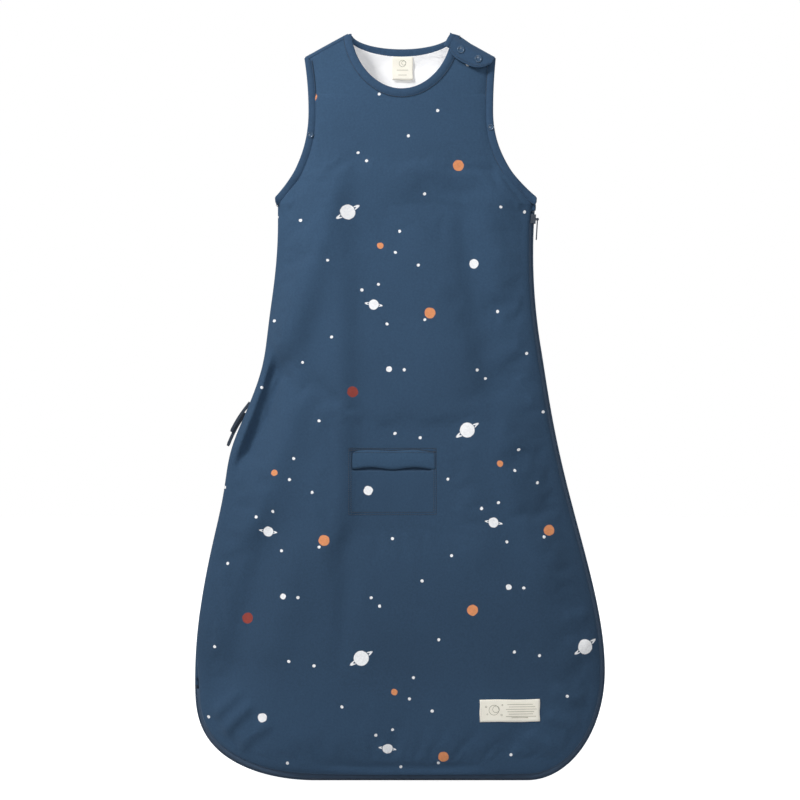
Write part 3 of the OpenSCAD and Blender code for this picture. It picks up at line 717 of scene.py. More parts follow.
# The label weave has a faint painted glow that lifts it out of shade.
CREAM_WEAVE = woven_surface("label_weave", CREAM, 0.0006, 0.75, LABEL_PAINTED_GLOW)
INK_WEAVE = woven_surface("label_print", LABEL_INK, 0.0006, 0.75)
TAPE = woven_surface("tape_weave", srgb(46, 69, 94), 0.0007)
TIE = woven_surface("tie_weave", srgb(36, 50, 67), 0.0007)
COIL = moulded_surface("zip_nylon", srgb(44, 66, 90), 0.45)
METAL = moulded_surface("zip_lacquer", srgb(32, 46, 62), 0.5, 0.2, 0.1)
STUD = moulded_surface("stud_enamel", srgb(54, 82, 110), 0.3, 0.0, 0.4)
STUD_METAL = moulded_surface("stud_metal", srgb(190, 195, 200), 0.3, 1.0)


# ---- folds of the front ----------------------------------------------------------------------
# Each fold is a line of (x, z), its width on the seam side and on the zip side, and its height.
FOLD_DEPTH = 1.45
FOLDS = (
    (((-70, 775), (-84, 700), (-101, 630), (-120, 570), (-137, 520), (-150, 480)), 26, 20, 7.0),
    (((-72, 745), (-72, 640), (-71, 540), (-70, 440), (-74, 340), (-84, 250), (-90, 180)), 24, 17, 4.6),
    (((58, 770), (70, 700), (84, 615), (98, 535), (112, 455), (122, 395)), 18, 26, -4.4),
    (((-152, 525), (-164, 489), (-178, 453), (-191, 415), (-202, 375)), 11, 9, 6.3),
    (((-145, 530), (-150, 500), (-156, 470), (-164, 445), (-174, 420), (-186, 395), (-202, 362)),
     9, 21, -8.6),
    (((-112, 500), (-136, 411), (-164, 339), (-194, 260)), 16, 20, 3.5),
    (((-142, 350), (-168, 260), (-188, 190), (-205, 125), (-216, 80)), 22, 28, -6.0),
    (((-118, 320), (-136, 220), (-160, 130)), 30, 26, 2.0),
    (((112, 470), (136, 385), (154, 318), (184, 252), (216, 196)), 26, 18, 4.5),
    (((60, 440), (84, 330), (104, 240)), 26, 20, 1.8),
    (((-62, 320), (-66, 220), (-74, 120)), 9, 14, -1.8),
    (((-216, 52), (-196, 74), (-172, 100)), 5, 8, 3.2),
    (((-226, 74), (-210, 92), (-186, 116)), 6, 7, 2.6),
    (((-196, 34), (-178, 54), (-150, 74)), 6, 9, 2.0),
    (((226, 100), (206, 104), (178, 116)), 6, 7, 2.2),
    (((220, 64), (200, 72), (170, 84)), 6, 8, 2.2),
    (((188, 30), (172, 46), (148, 62)), 6, 8, 2.0),
    (((236, 210), (214, 196), (192, 204)), 7, 8, 1.8),
    (((238, 172), (218, 164), (196, 174)), 7, 8, 1.6),
    (((-120, 20), (-40, 15), (40, 14), (120, 17)), 7, 7, -1.6),
)


def fold_height(x, z, line, seam_side_w, zip_side_w, height):
    """How much one fold raises each point: it fades out at its ends."""
    line = np.asarray(line, float)
    best = np.full(x.shape, 1e9)
    signed = np.zeros(x.shape)
    along = np.zeros(x.shape)
    lengths = np.linalg.norm(np.diff(line, axis=0), axis=1)
    before = 0.0
    for a, b, length in zip(line[:-1], line[1:], lengths):
        d = (b - a) / length
        t = np.clip((x - a[0]) * d[0] + (z - a[1]) * d[1], 0, length)
        dx, dz = x - a[0] - d[0] * t, z - a[1] - d[1] * t
        distance = np.hypot(dx, dz)
        closer = distance < best
        turn = np.sign(dx * -d[1] + dz * d[0])
        best = np.where(closer, distance, best)
        signed = np.where(closer, turn * distance, signed)
        along = np.where(closer, before + t, along)
        before += length
    width = np.where(signed < 0, seam_side_w, zip_side_w)
    share = along / before
    return height * np.exp(-((signed / width) ** 2)) * smooth(share / 0.25) * smooth((1 - share) / 0.25)


def ripple(x, z, sizes, seed):
    """Slow random unevenness, as a sum of waves."""
    dice = random.Random(seed)
    total = np.zeros(x.shape)
    for wave, height in sizes:
        for _ in range(5):
            angle = dice.uniform(0, math.pi)
            phase = dice.uniform(0, 2 * math.pi)
            total += height / 5 * np.sin(
                (x * math.cos(angle) + z * math.sin(angle)) * 2 * math.pi / wave + phase)
    return total


def seam_puckers(x, z, share):
    """Short creases that run in from the side and hem seams."""
    edge = smooth((np.abs(share) - 0.86) / 0.1) * (1 - smooth((np.abs(share) - 0.985) / 0.015))
    wave = np.sin(z / 6.1 + 1.4 * np.sin(z / 23.0)) * (0.5 + 0.5 * np.sin(z / 41.0 + x / 50.0))
    return 0.35 * edge * wave * (z < UNDERARM_Z)


def front_folds(x, z, share):
    room = smooth((1 - np.abs(share)) / 0.07) * smooth(z / 18)
    total = FOLD_DEPTH * sum(fold_height(x, z, *fold) for fold in FOLDS)
    slow = ripple(x, z, ((170, 1.2), (80, 0.4), (34, 0.12)), 3) * smooth((NECK_LOW_Z + 20 - z) / 120)
    return room * (total + slow) + seam_puckers(x, z, share)


def back_folds(x, z, share):
    """The back lies flat on what it rests on, so its folds only go inwards."""
    room = smooth((1 - np.abs(share)) / 0.1)
    slow = ripple(x, z, ((170, 1.2), (80, 0.6), (40, 0.3)), 11)
    return -np.abs(room * slow) * 0.6 - 0.2 * room


# ---- cloth sheets ----------------------------------------------------------------------------
HALF_COLUMNS = 50
CORNER_ROWS = 34
STRAP_ROWS = 12
ROW_STEP = 5.0


def row_heights(inset, base):
    """Heights of the rows below the neckline; two of them lie on the slot's edges."""
    top = RIGHT_CORNER[1]
    rows = [top - (top - inset) * math.cos(math.pi / 2 * i / CORNER_ROWS) for i in range(CORNER_ROWS)]
    arm = UNDERARM_Z - ARM_SHIFT_Z
    levels = (top, SLOT_LOW_Z, SLOT_TOP_Z, arm, arm + ROW_STEP / 2, base)
    for lo, hi in zip(levels, levels[1:]):
        count = max(1, round((hi - lo) / ROW_STEP))
        rows += [mix(lo, hi, i / count) for i in range(count)]
    return rows + [base]


def column_shares():
    """Shares across one half, closer together towards the edge."""
    t = np.linspace(0, 1, HALF_COLUMNS + 1)
    return t + 0.12 * np.sin(math.pi * t) * t


UNDERARM_LEAN = 0.9
UNDERARM_OUT = 3.4


def cloth_half(side, z, inset):
    """Half width of a visible sheet, whose armhole edge is tucked in under the binding."""
    above = z - UNDERARM_Z + ARM_SHIFT_Z
    if above <= 0:
        return float(half_width(side, z, inset))
    side_end = float(half_width(side, UNDERARM_Z - ARM_SHIFT_Z, inset))
    corner = min(side_end + UNDERARM_OUT, UNDERARM[side] - 2) - UNDERARM_LEAN * above
    return max(float(half_width(side, z, inset)) + TUCK, corner)


def body_row(z, inset, shares):
    points = []
    for side, order in ((-1, shares[::-1]), (1, shares)):
        half = cloth_half(side, z, inset) - side * MID_X
        points += [(MID_X + side * half * s, z, side * s) for s in order]
    return points


def strap_row(f, inset, low_z, shares):
    points = []
    base = low_z - BINDING_W + TUCK
    z_in, z_out = mix(base, CREST_Z - 3, f), mix(base, SHOULDER_LOW_Z - 2, f)
    for side, order in ((-1, shares[::-1]), (1, shares)):
        x_in = MID_X * side + float(neck_x(z_in, low_z, BINDING_W - TUCK))
        x_out = cloth_half(side, z_out, inset)
        for s in order:
            x, z = side * mix(x_in, x_out, s), mix(z_in, z_out, s)
            points.append((x, z, side * float(share_at(side, x, z, inset))))
    return points


def sheet_grid(inset, low_z):
    """Rows of (x, z, share), and the number of the last row that crosses the middle."""
    shares = column_shares()
    rows = [body_row(z, inset, shares) for z in row_heights(inset, low_z - BINDING_W + TUCK)]
    joined = len(rows) - 1
    rows += [strap_row((k / STRAP_ROWS) ** 1.8, inset, low_z, shares) for k in range(1, STRAP_ROWS + 1)]
    return np.array(rows), joined


def slot_low(back):
    """The lower lip of a slot: the back one lies higher, so that no light shows through both."""
    return SLOT_LOW_Z + (SLOT_TOP_Z - SLOT_LOW_Z) / 4 if back else SLOT_LOW_Z


def in_slot(x, z, back):
    return abs(x - SLOT_MID_X) < SLOT_HALF and slot_low(back) < z < SLOT_TOP_Z


def cloth_sheet(name, inset, low_z, depth, material, back):
    """One sheet of cloth with its slot open; depth gives its place off the seam plane."""
    grid, joined = sheet_grid(inset, low_z)
    rows, columns = grid.shape[:2]
    last = HALF_COLUMNS
    y = depth(grid[..., 0], grid[..., 1], grid[..., 2])
    rise = 0 if back else HEM_RAISE * (1 - smooth(grid[..., 1] / RIGHT_CORNER[1]))
    points = np.stack([grid[..., 0], y, grid[..., 1] + rise], axis=-1).reshape(-1, 3)

    def at(r, c):
        return r * columns + (last if c == last + 1 and r <= joined else c)

    faces = []
    for r in range(rows - 1):
        for c in range(columns - 1):
            if c == last:
                continue
            quad = [at(r, c), at(r, c + 1), at(r + 1, c + 1), at(r + 1, c)]
            middle = points[quad].mean(0)
            if not in_slot(middle[0], middle[2], back):
                faces.append(tuple(quad if not back else quad[::-1]))
    made = make_mesh(name, points, faces, material)
    shares = made.data.attributes.new("share", "FLOAT", "POINT")
    shares.data.foreach_set("value", np.abs(grid[..., 2]).ravel())
    layer = made.data.uv_layers.new(name="print")
    for loop, spot in zip(made.data.loops, layer.data):
        x, _, z = points[loop.vertex_index]
        spot.uv = (x * MM, z * MM)
    work = bmesh.new()
    work.from_mesh(made.data)
    loose = [v for v in work.verts if not v.link_faces]
    bmesh.ops.delete(work, geom=loose, context="VERTS")
    work.to_mesh(made.data)
    work.free()
    return made


PIN_STRAP_Z = 730.0
PIN_HEM_Z = 12.0
PIN_SLOT_Z = 363.0
PIN_SLOT_HALF = (60.0, 48.0)


def pin_weights(made):
    """Full hold at the seams, the straps and the slot, and none in the open cloth."""
    share = np.zeros(len(made.data.vertices))
    made.data.attributes["share"].data.foreach_get("value", share)
    group = made.vertex_groups.new(name="pin")
    for v, s in zip(made.data.vertices, share):
        x, z = v.co.x / MM, v.co.z / MM
        edge = smooth((s - 0.9) / 0.08)
        strap = smooth((z - PIN_STRAP_Z) / 60)
        hem = 1 - smooth((z - PIN_HEM_Z) / 26)
        off_slot = max(abs(x - SLOT_MID_X) - PIN_SLOT_HALF[0], abs(z - PIN_SLOT_Z) - PIN_SLOT_HALF[1])
        slot = 1 - smooth(off_slot / 25)
        group.add([v.index], float(max(edge, strap, hem, slot)), "REPLACE")


def relax_cloth(made, pressure, growth, cap):
    """Fills the padded cloth out with a short simulation; no point moves more than cap."""
    rest = np.array([v.co for v in made.data.vertices])
    pin_weights(made)
    cloth = made.modifiers.new("cloth", "CLOTH")
    settings = cloth.settings
    settings.quality = 6
    settings.mass = 0.25
    settings.tension_stiffness = 12
    settings.compression_stiffness = 6
    settings.shear_stiffness = 3
    settings.bending_stiffness = 0.4
    settings.vertex_group_mass = "pin"
    settings.pin_stiffness = 2.0
    settings.use_pressure = True
    settings.uniform_pressure_force = pressure
    settings.shrink_min = -growth
    settings.effector_weights.gravity = 0
    cloth.collision_settings.use_collision = False
    frames = 16
    cloth.point_cache.frame_end = frames
    scene = bpy.context.scene
    for step in range(1, frames + 1):
        scene.frame_set(step)
    graph = bpy.context.evaluated_depsgraph_get()
    final = made.evaluated_get(graph).to_mesh()
    moved = np.array([v.co for v in final.vertices]) - rest
    made.evaluated_get(graph).to_mesh_clear()
    made.modifiers.clear()
    scene.frame_set(1)
    lengths = np.linalg.norm(moved, axis=1)
    limit = cap * MM
    scale = limit * np.tanh(lengths / limit) / np.maximum(lengths, 1e-9)
    settled = rest + moved * scale[:, None]
    made.data.vertices.foreach_set("co", settled.astype(np.float32).ravel())
    made.data.update()


def thicken(made, thickness, levels=0):
    """Gives a sheet its thickness, inwards from its outer face."""
    if levels:
        finer = made.modifiers.new("finer", "SUBSURF")
        finer.levels = finer.render_levels = levels
    body = made.modifiers.new("body", "SOLIDIFY")
    body.thickness = thickness * MM
    body.offset = -1
    return apply_modifiers(made)


FOLD_POINT = Vector((float(right_side(FOLD_Z, 0)), 0, FOLD_Z)) * MM


def bend_at_fold(made):
    """Bakes the piece's placement into its mesh; it does not bend the piece."""
    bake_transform(made)
    return made


LINING_INSET = LIP_W + 4.7
LINING_FILL = 0.88
LINING_IN = 1.8
LINING_CLEAR = 0.3


def draped_front(x, z, share):
    """The front with its folds, which never reach the seam plane."""
    y = front_y(share, z) - front_folds(x, z, share)
    return np.minimum(y, -SEAM_GAP)


def build_front():
    made = cloth_sheet("front_cloth", LIP_W, NECK_LOW_Z, draped_front, CLOTH, False)
    relax_cloth(made, 1.1, 0.009, 4.0)
    return made


def build_front_lining():
    def depth(x, z, share):
        return np.minimum(draped_front(x, z, share) * LINING_FILL + LINING_IN, -LINING_CLEAR)

    return cloth_sheet("front_lining_cloth", LINING_INSET, NECK_LOW_Z, depth, INNER, False)


def draped_back(x, z, share):
    return back_y(share, z) + back_folds(x, z, share)


def build_back():
    return cloth_sheet("back_cloth", LIP_W, BACK_NECK_LOW_Z, draped_back, CLOTH, True)


def build_back_lining():
    """The back lining comes close to the outer cloth below the neck binding."""
    def depth(x, z, share):
        y = draped_back(x, z, share)
        close = smooth((z - BACK_NECK_LOW_Z + 35) / 16)
        return np.maximum(mix(y * LINING_FILL - LINING_IN, y - 1.55, close), LINING_CLEAR)

    return cloth_sheet("back_lining_cloth", LINING_INSET, BACK_NECK_LOW_Z - 2, depth, INNER, True)


class Skin:
    """Finds the finished surface of a sheet at a point of the front view."""

    def __init__(self, made, back):
        self.tree = BVHTree.FromObject(made, bpy.context.evaluated_depsgraph_get())
        self.back = back

    def y(self, x, z):
        start = Vector((x * MM, 0.2 if self.back else -0.2, z * MM))
        along = Vector((0, -1 if self.back else 1, 0))
        hit = self.tree.ray_cast(start, along)
        return hit[0].y / MM if hit[0] is not None else skin_y(self.back, x, z)


# ---- stitches --------------------------------------------------------------------------------
# A stitch's rings: place along it, share of its radius, rise out of the cloth in radii.
SPINDLE = ((-0.5, 0.3, -0.5), (-0.3, 0.85, 0.3), (0, 1.0, 0.55), (0.3, 0.85, 0.3), (0.5, 0.3, -0.5))


def stitch_shape(middle, along, out, length, radius):
    """One thread stitch: a short spindle whose ends sink into the cloth."""
    side = np.cross(along, out)
    rings = []
    for t, size, rise in SPINDLE:
        centre = middle + along * length * t + out * radius * rise
        rings.append([centre + (side * math.cos(a) + out * math.sin(a)) * radius * size for a in turns(6)])
    return loft(rings)


def stitch_row(points, out, pitch, radius):
    """Stitches along a line of points; out is the way out of the cloth."""
    even, ways = resample(points, pitch)
    shapes = []
    for p, way in zip(even[:-1], ways[:-1]):
        along = unit(np.asarray(way) - out * float(np.dot(way, out)))
        middle = p + along * pitch * 0.5
        shapes.append(stitch_shape(middle, along, out, pitch * 0.78, radius))
    return shapes


def stitch_piece(name, rows, material, body="bag", slot="cloth"):
    settle(solid(name, merge([s for row in rows for s in row]), material), body, slot)


# ---- bindings --------------------------------------------------------------------------------
# A folded band in section: u runs in from the opening's edge, v out of the cloth.
BAND_PROFILE = ((0.0, 0.1), (0.35, 1.0), (1.3, 1.75), (3.2, 2.15), (5.6, 2.2), (7.6, 1.9), (8.9, 1.15),
                (9.4, 0.85), (10.0, 1.05), (10.5, 0.55), (10.5, -2.4), (8.5, -3.2), (5.0, -3.5),
                (2.0, -3.1), (0.6, -1.9))


BAND_SEAM = 10.3


def band_sections(path, back, wobble_seed):
    """Rings of a band along a path of (edge point, inward point, cloth y)."""
    dice = random.Random(wobble_seed)
    out = np.array([0, 1.0 if back else -1.0, 0])
    phase = dice.uniform(0, 6)
    rings = []
    for i, (edge, seam, y) in enumerate(path):
        a = np.array([edge[0], y, edge[1]])
        b = np.array([seam[0], y, seam[1]])
        inward = unit(b - a)
        width = np.linalg.norm(b - a) / BINDING_W
        plump = 1 + 0.07 * math.sin(i * 0.9 + phase) * math.sin(i * 0.23 + 2 * phase)
        rings.append([a + inward * u * width + out * v * plump * 0.82 for u, v in BAND_PROFILE])
    return rings


def band_stitches(path, back):
    out = np.array([0, 1.0 if back else -1.0, 0])
    points = []
    for edge, seam, y in path:
        a, b = np.array([edge[0], y, edge[1]]), np.array([seam[0], y, seam[1]])
        points.append(a + (b - a) * BAND_SEAM / BINDING_W + out * 0.6)
    return stitch_row(points, out, 2.2, 0.42)


def neck_path(back, low_z):
    """Edge and seam points round one side of the neckline, from crest to crest."""
    path = []
    steps = 70
    for i in range(-steps, steps + 1):
        side = -1 if i < 0 else 1
        f = (abs(i) / steps) ** 1.8
        z = mix(low_z, CREST_Z - 1.2, f)
        edge = np.array([MID_X + side * float(neck_x(z, low_z, 0)), z])
        z_in = mix(low_z - BINDING_W, CREST_Z - 4, f)
        seam = np.array([MID_X + side * float(neck_x(z_in, low_z, BINDING_W)), z_in])
        path.append((edge, edge + unit(seam - edge) * BINDING_W, skin_y(back, *seam)))
    return path


BAND_END_RISE = 5.5
BAND_END_EASE = 30.0
BAND_CUT_H = 12.0


def armhole_path(side, back):
    """Edge and seam points up an armhole; the band's end is cut upright, in line with the side."""
    path = []
    steps = 64
    low = UNDERARM_Z + BAND_END_RISE
    for i in range(steps + 1):
        z = mix(low, SHOULDER_LOW_Z - 1, i / steps)
        drawn_z = z - BAND_END_RISE * max(0, 1 - (z - low) / BAND_END_EASE)
        x = side * float(armhole(side, drawn_z))
        seam_z = drawn_z - ARM_SHIFT_Z
        seam_x = side * float(panel_armhole(side, seam_z, 0))
        upright = 1 - float(smooth((z - low) / BAND_CUT_H))
        inward = unit(mix(unit([seam_x - x, seam_z - drawn_z]), np.array([-0.19 * side, -1]), upright))
        edge = np.array([x, z])
        path.append((edge, edge + inward * BINDING_W, skin_y(back, seam_x, seam_z)))
    return path


def band_piece(name, path, back, seed, *nodes):
    settle(refined(solid(name, loft(band_sections(path, back, seed)), BAND)), "bag", "binding", *nodes)


def build_bindings():
    front_neck, back_neck = neck_path(False, NECK_LOW_Z), neck_path(True, BACK_NECK_LOW_Z)
    band_piece("front_neck_band", front_neck, False, 1, "front_neck_binding")
    band_piece("back_neck_band", back_neck, True, 2, "back_neck_binding")
    rows = [band_stitches(front_neck, False), band_stitches(back_neck, True), inner_neck_stitches(back_neck)]
    for side, word in ((-1, "left"), (1, "right")):
        for back, face in ((False, "front"), (True, "back")):
            path = armhole_path(side, back)
            band_piece(f"{word}_{face}_armhole_band", path, back, 5 + side + 2 * back,
                       f"{word}_{face}_armhole_binding")
            rows.append(band_stitches(path, back))
    # The binding stitches are dark thread that also paints the shadow in the seam ditch.
    stitch_piece("binding_stitches", rows, PAINTED_SHADE_THREAD, slot="binding")


def inner_neck_stitches(path):
    """The row that shows on the inside of the back neckline."""
    inward = np.array([0, -1.0, 0])
    points = [np.array([mix(e[0], s[0], 0.86), y - 1.75, mix(e[1], s[1], 0.86)]) for e, s, y in path]
    return stitch_row(points, inward, 2.6, 0.26)


# ---- shoulders -------------------------------------------------------------------------------
def shoulder_roll(name, side, node_name):
    """The rounded top of a shoulder, where the front turns into the back."""
    inner = np.array([side * (NECK_HALF + 3), CREST_Z - 0.6])
    outer = np.array([side * (SHOULDER_OUT - 1.5), SHOULDER_LOW_Z + 0.4])
    rings = []
    steps = 22
    for i in range(steps + 1):
        spot = mix(inner, outer, i / steps)
        y_half = abs(skin_y(False, spot[0], spot[1] - 4)) + 0.9
        ring_points = []
        for a in np.linspace(0, math.pi, 9):
            ring_points.append((spot[0], -y_half * math.cos(a), spot[1] - 5.5 + 5.5 * math.sin(a)))
        for y in (y_half - 1.6, -(y_half - 1.6)):
            ring_points.append((spot[0], y, spot[1] - 7.5))
        rings.append(ring_points)
    settle(solid(name, loft(rings), BAND), "bag", "cloth", node_name)


TAB_ORIGIN = np.array([61.0, -14.0, 898.0])
TAB_TILT = math.radians(9)
TAB_SLOPE = math.atan((CREST_Z - SHOULDER_LOW_Z) / (SHOULDER_OUT - NECK_HALF))
TAB_LEN = 60.0
TAB_W = 25.0
TAB_T = 2.0
TAB_HALF = TAB_T * 0.55
SHOULDER_STUDS = (19.5, 43.0)
STUD_DOWN = 12.5


def on_tab(x, y, z):
    """A point given in the tab's own plane: x along the crest, y to the back, z up."""
    y1 = y * math.cos(TAB_TILT) + z * math.sin(TAB_TILT)
    z1 = -y * math.sin(TAB_TILT) + z * math.cos(TAB_TILT)
    x2 = x * math.cos(TAB_SLOPE) + z1 * math.sin(TAB_SLOPE)
    z2 = -x * math.sin(TAB_SLOPE) + z1 * math.cos(TAB_SLOPE)
    return TAB_ORIGIN + np.array([x2, y1, z2])


TAB_OUT = on_tab(0, -1, 0) - on_tab(0, 0, 0)


def tab_edge(x):
    """How far down the tab reaches at a place along it: a rounded lower edge."""
    t = np.clip(x / TAB_LEN, 0, 1)
    return TAB_W * (1 - np.abs(2 * t - 1) ** 3.2 * 0.62)


def tab_point(t, down, lift):
    """A point of the tab: t along it, down from the crest; it rises over the crest at its top."""
    x = t * TAB_LEN
    crest = 1 - smooth(down / 7)
    puff = 1.1 * math.sin(math.pi * min(max(down / 26, 0), 1))
    spot = on_tab(x, -TAB_T * 0.4 - puff - lift, -down)
    return spot + np.array([0, 4.5 * crest, 0])


def tab_face(lift):
    """One face of the tab, which thins towards its lower edge."""
    return lambda t, v: tab_point(t, v * float(tab_edge(t * TAB_LEN)), lift * (1 - 0.5 * v**8))


def build_tab():
    shape = two_faced(44, 18, tab_face(TAB_HALF), tab_face(-TAB_HALF))
    settle(refined(solid("shoulder_tab_cloth", shape, BAND)), "shoulder_tab", "cloth", "shoulder_tab")
    build_tab_band()
    along = np.linspace(0.045, 0.955, 40)
    hem = [tab_point(t, float(tab_edge(t * TAB_LEN)) - 2.6, TAB_T * 0.6) for t in along]
    stitch_piece("shoulder_tab_stitches", [stitch_row(hem, TAB_OUT, 2.6, 0.26)], THREAD, "shoulder_tab")


def build_tab_band():
    """The neck binding, where it turns over the crest onto the tab's inner edge."""
    rings = []
    for down in np.linspace(-1.5, 17, 20):
        above = np.array([0, 0, max(-down, 0)])
        a, b = (tab_point(t, max(down, 0), 0.0) + above for t in (-0.02, 0.13))
        inward = unit(b - a)
        rings.append([a + inward * u * 0.78 + np.array([0, -v * 0.75, 0]) for u, v in BAND_PROFILE])
    settle(solid("shoulder_tab_band", loft(rings), BAND), "shoulder_tab", "binding")


# ---- press studs -----------------------------------------------------------------------------
CAP_PROFILE = ((0.0, 0.35), (0.45, 0.35), (0.55, 0.5), (0.62, 0.95), (0.74, 1.2), (0.86, 1.15),
               (0.97, 0.75), (1.0, 0.3), (1.0, 0.0), (0.0, 0.0))
SOCKET_PROFILE = ((0.4, 0.0), (0.4, 1.0), (0.55, 1.25), (0.8, 1.2), (1.0, 0.6), (1.0, 0.0))
STUD_PROFILE = ((0.0, 2.0), (0.22, 2.0), (0.32, 1.7), (0.27, 1.0), (0.3, 0.75), (0.9, 0.6), (1.0, 0.3),
                (1.0, 0.0), (0.0, 0.0))


def lathe(middle, out, radius, profile, closed_profile=False):
    """A turned shape: profile is (share of the radius, height along out)."""
    out = unit(out)
    side = unit(np.cross(out, [0.3, 0.1, 1.0]))
    up = np.cross(out, side)
    rings = []
    for share, height in profile:
        r = max(share * radius, 0.01)
        rings.append([middle + out * height + (side * math.cos(a) + up * math.sin(a)) * r for a in turns(36)])
    return closed_loft(rings) if closed_profile else loft(rings)


def stud_piece(name, spots, radius, profile, material, body, node_name, closed_profile=False):
    shape = merge([lathe(p, out, radius, profile, closed_profile) for p, out in spots])
    made = solid(name, shape, material)
    bevel = made.modifiers.new("edge", "BEVEL")
    bevel.width = 0.08 * MM
    bevel.segments = 2
    settle(apply_modifiers(made), body, "stud", node_name)


def build_shoulder_studs():
    places = [x / TAB_LEN for x in SHOULDER_STUDS]
    caps = [(tab_point(t, STUD_DOWN, TAB_HALF), TAB_OUT) for t in places]
    sockets = [(tab_point(t, STUD_DOWN, -TAB_HALF), -TAB_OUT) for t in places]
    studs = [(on_tab(x, 3.6, -STUD_DOWN), TAB_OUT) for x in SHOULDER_STUDS]
    stud_piece("shoulder_tab_caps", caps, 4.8, CAP_PROFILE, STUD, "shoulder_tab", "shoulder_stud_caps")
    stud_piece("shoulder_tab_sockets", sockets, 4.2, SOCKET_PROFILE, STUD_METAL, "shoulder_tab",
               "shoulder_stud_sockets", True)
    stud_piece("shoulder_strap_studs", studs, 4.0, STUD_PROFILE, STUD_METAL, "bag", "shoulder_studs")


def build_armhole_studs():
    caps, sockets, studs = [], [], []
    for side, z in ((-1, 777.0), (1, 786.0)):
        x = side * (float(armhole(side, z)) - BINDING_W / 2 + 0.6)
        seam_x = side * float(panel_armhole(side, z - ARM_SHIFT_Z, 0))
        front, back = (skin_y(face, seam_x, z - ARM_SHIFT_Z) for face in (False, True))
        caps.append((np.array([x, front - 1.55, z]), FORWARD))
        sockets.append((np.array([x, front + 1.75, z]), -FORWARD))
        studs.append((np.array([x, back - 1.75, z]), FORWARD))
    stud_piece("armhole_caps", caps, 4.0, CAP_PROFILE, STUD, "bag", "armhole_stud_caps")
    stud_piece("armhole_sockets", sockets, 3.6, SOCKET_PROFILE, STUD_METAL, "bag",
               "armhole_stud_sockets", True)
    stud_piece("armhole_back_studs", studs, 3.6, STUD_PROFILE, STUD_METAL, "bag", "armhole_studs")


# ---- zip -------------------------------------------------------------------------------------
def zip_line(inset):
    """The zip's line of (x, z), down the zip side, round the hem and up past the far corner."""
    right_mid, left_mid = HEM_HALF - RIGHT_CORNER[0], HEM_HALF - LEFT_CORNER[0]
    drop = (LEFT_CORNER[1] - ZIP_END_Z) / (LEFT_CORNER[1] - inset)
    end = math.asin(drop ** (LEFT_CORNER[2] / 2))
    line = []
    for z in np.linspace(ZIP_TOP_Z - 7, RIGHT_CORNER[1], 120, endpoint=False):
        line.append((float(right_side(z, inset)), z))
    for a in np.linspace(0, math.pi / 2, 40):
        line.append((right_mid + (RIGHT_CORNER[0] - inset) * math.cos(a),
                     RIGHT_CORNER[1] - (RIGHT_CORNER[1] - inset) * math.sin(a)))
    for x in np.linspace(right_mid, -left_mid, 40)[1:-1]:
        line.append((x, inset))
    for a in np.linspace(math.pi / 2, end, 48):
        line.append((-left_mid - (LEFT_CORNER[0] - inset) * math.cos(a),
                     LEFT_CORNER[1] - (LEFT_CORNER[1] - inset) * math.sin(a) ** (2 / LEFT_CORNER[2])))
    return line


BAG_MIDDLE = np.array([0, 0, 300.0])


def zip_frames(line, step):
    """Evenly spaced places along a line of (x, z), with the way along and the way outwards."""
    flat = np.array([(x, 0, z) for x, z in line])
    even, ways = resample(flat, step)
    frames = []
    for p, way in zip(even, ways):
        along = unit(way)
        side = unit(np.cross(along, [0, 1.0, 0]))
        outward = side if np.dot(side, p - BAG_MIDDLE) > 0 else -side
        frames.append((p, along, outward))
    return frames


def strip_line():
    """The zip's line drawn on at both ends: up to the underarm and up the plain seam."""
    top = [(float(right_side(z, 0.0)), z) for z in np.linspace(UNDERARM_Z + 3, ZIP_TOP_Z - 6, 8)]
    end = [(-float(left_side(z, 0.0)), z) for z in np.linspace(ZIP_END_Z + 2, 205, 24)]
    return top + zip_line(0.0) + end


def strip_share(p):
    """How wide the strip is: it runs out to nothing up the plain seam."""
    return 1.0 if p[0] > 0 else 1 - 0.86 * float(smooth((p[2] - ZIP_END_Z) / 70))


def zip_bar(name, profile, material, slot_name, nodes, body=None, step=5.0, full=False):
    """A strip along the zip: profile is (inwards from the outline, y)."""
    rings = []
    for p, along, outward in zip_frames(strip_line() if full else zip_line(0.0), step):
        share = strip_share(p) if full else 1.0
        rings.append([p - outward * u * share + np.array([0, y, 0]) for u, y in profile])
    return settle(solid(name, loft(rings), material), body, slot_name, *nodes)


def tape_profile(side):
    near, away = side * 0.8, side * 1.4
    rib = away + side * 0.1
    return ((2.6, near), (2.6, away), (6, rib), (11, away), (16, away), (16, near), (9, near))


# A coil turn's rings: place inwards from the outline, share of its size.
HOOK = ((0.95, 0.62), (1.15, 0.95), (1.7, 1.0), (2.3, 0.8), (3.4, 0.55))
COIL_PITCH = 1.6


def hook(p, along, outward, side):
    rings = []
    for u, size in HOOK:
        centre = p - outward * u + np.array([0, side * 0.78, 0])
        half, rise = along * 0.52 * size, np.array([0, 0.64 * size, 0])
        rings.append([centre + half * math.cos(a) + rise * math.sin(a) for a in turns(6)])
    return loft(rings)


def teeth(name, side, nodes, body=None):
    """The zip's coil: one small rounded hook for each turn."""
    shape = merge([hook(*place, side) for place in zip_frames(zip_line(0.0), COIL_PITCH)])
    return settle(solid(name, shape, COIL), body, "zip_coil", *nodes)


STRIP_PROFILE = ((0.0, 3.6), (0.15, 2.6), (0.8, 1.9), (2.2, 1.6), (3.8, 1.8), (5.2, 2.5), (7.5, 3.2),
                 (7.5, 4.6), (4.5, 5.4), (1.6, 5.4), (0.4, 4.8))
GUARD_PROFILE = ((5.3, 0.0), (5.7, -0.35), (8, -0.45), (16, -0.4), (21.5, -0.3), (22, 0.0), (21.5, 0.3),
                 (16, 0.4), (8, 0.45), (5.7, 0.35))


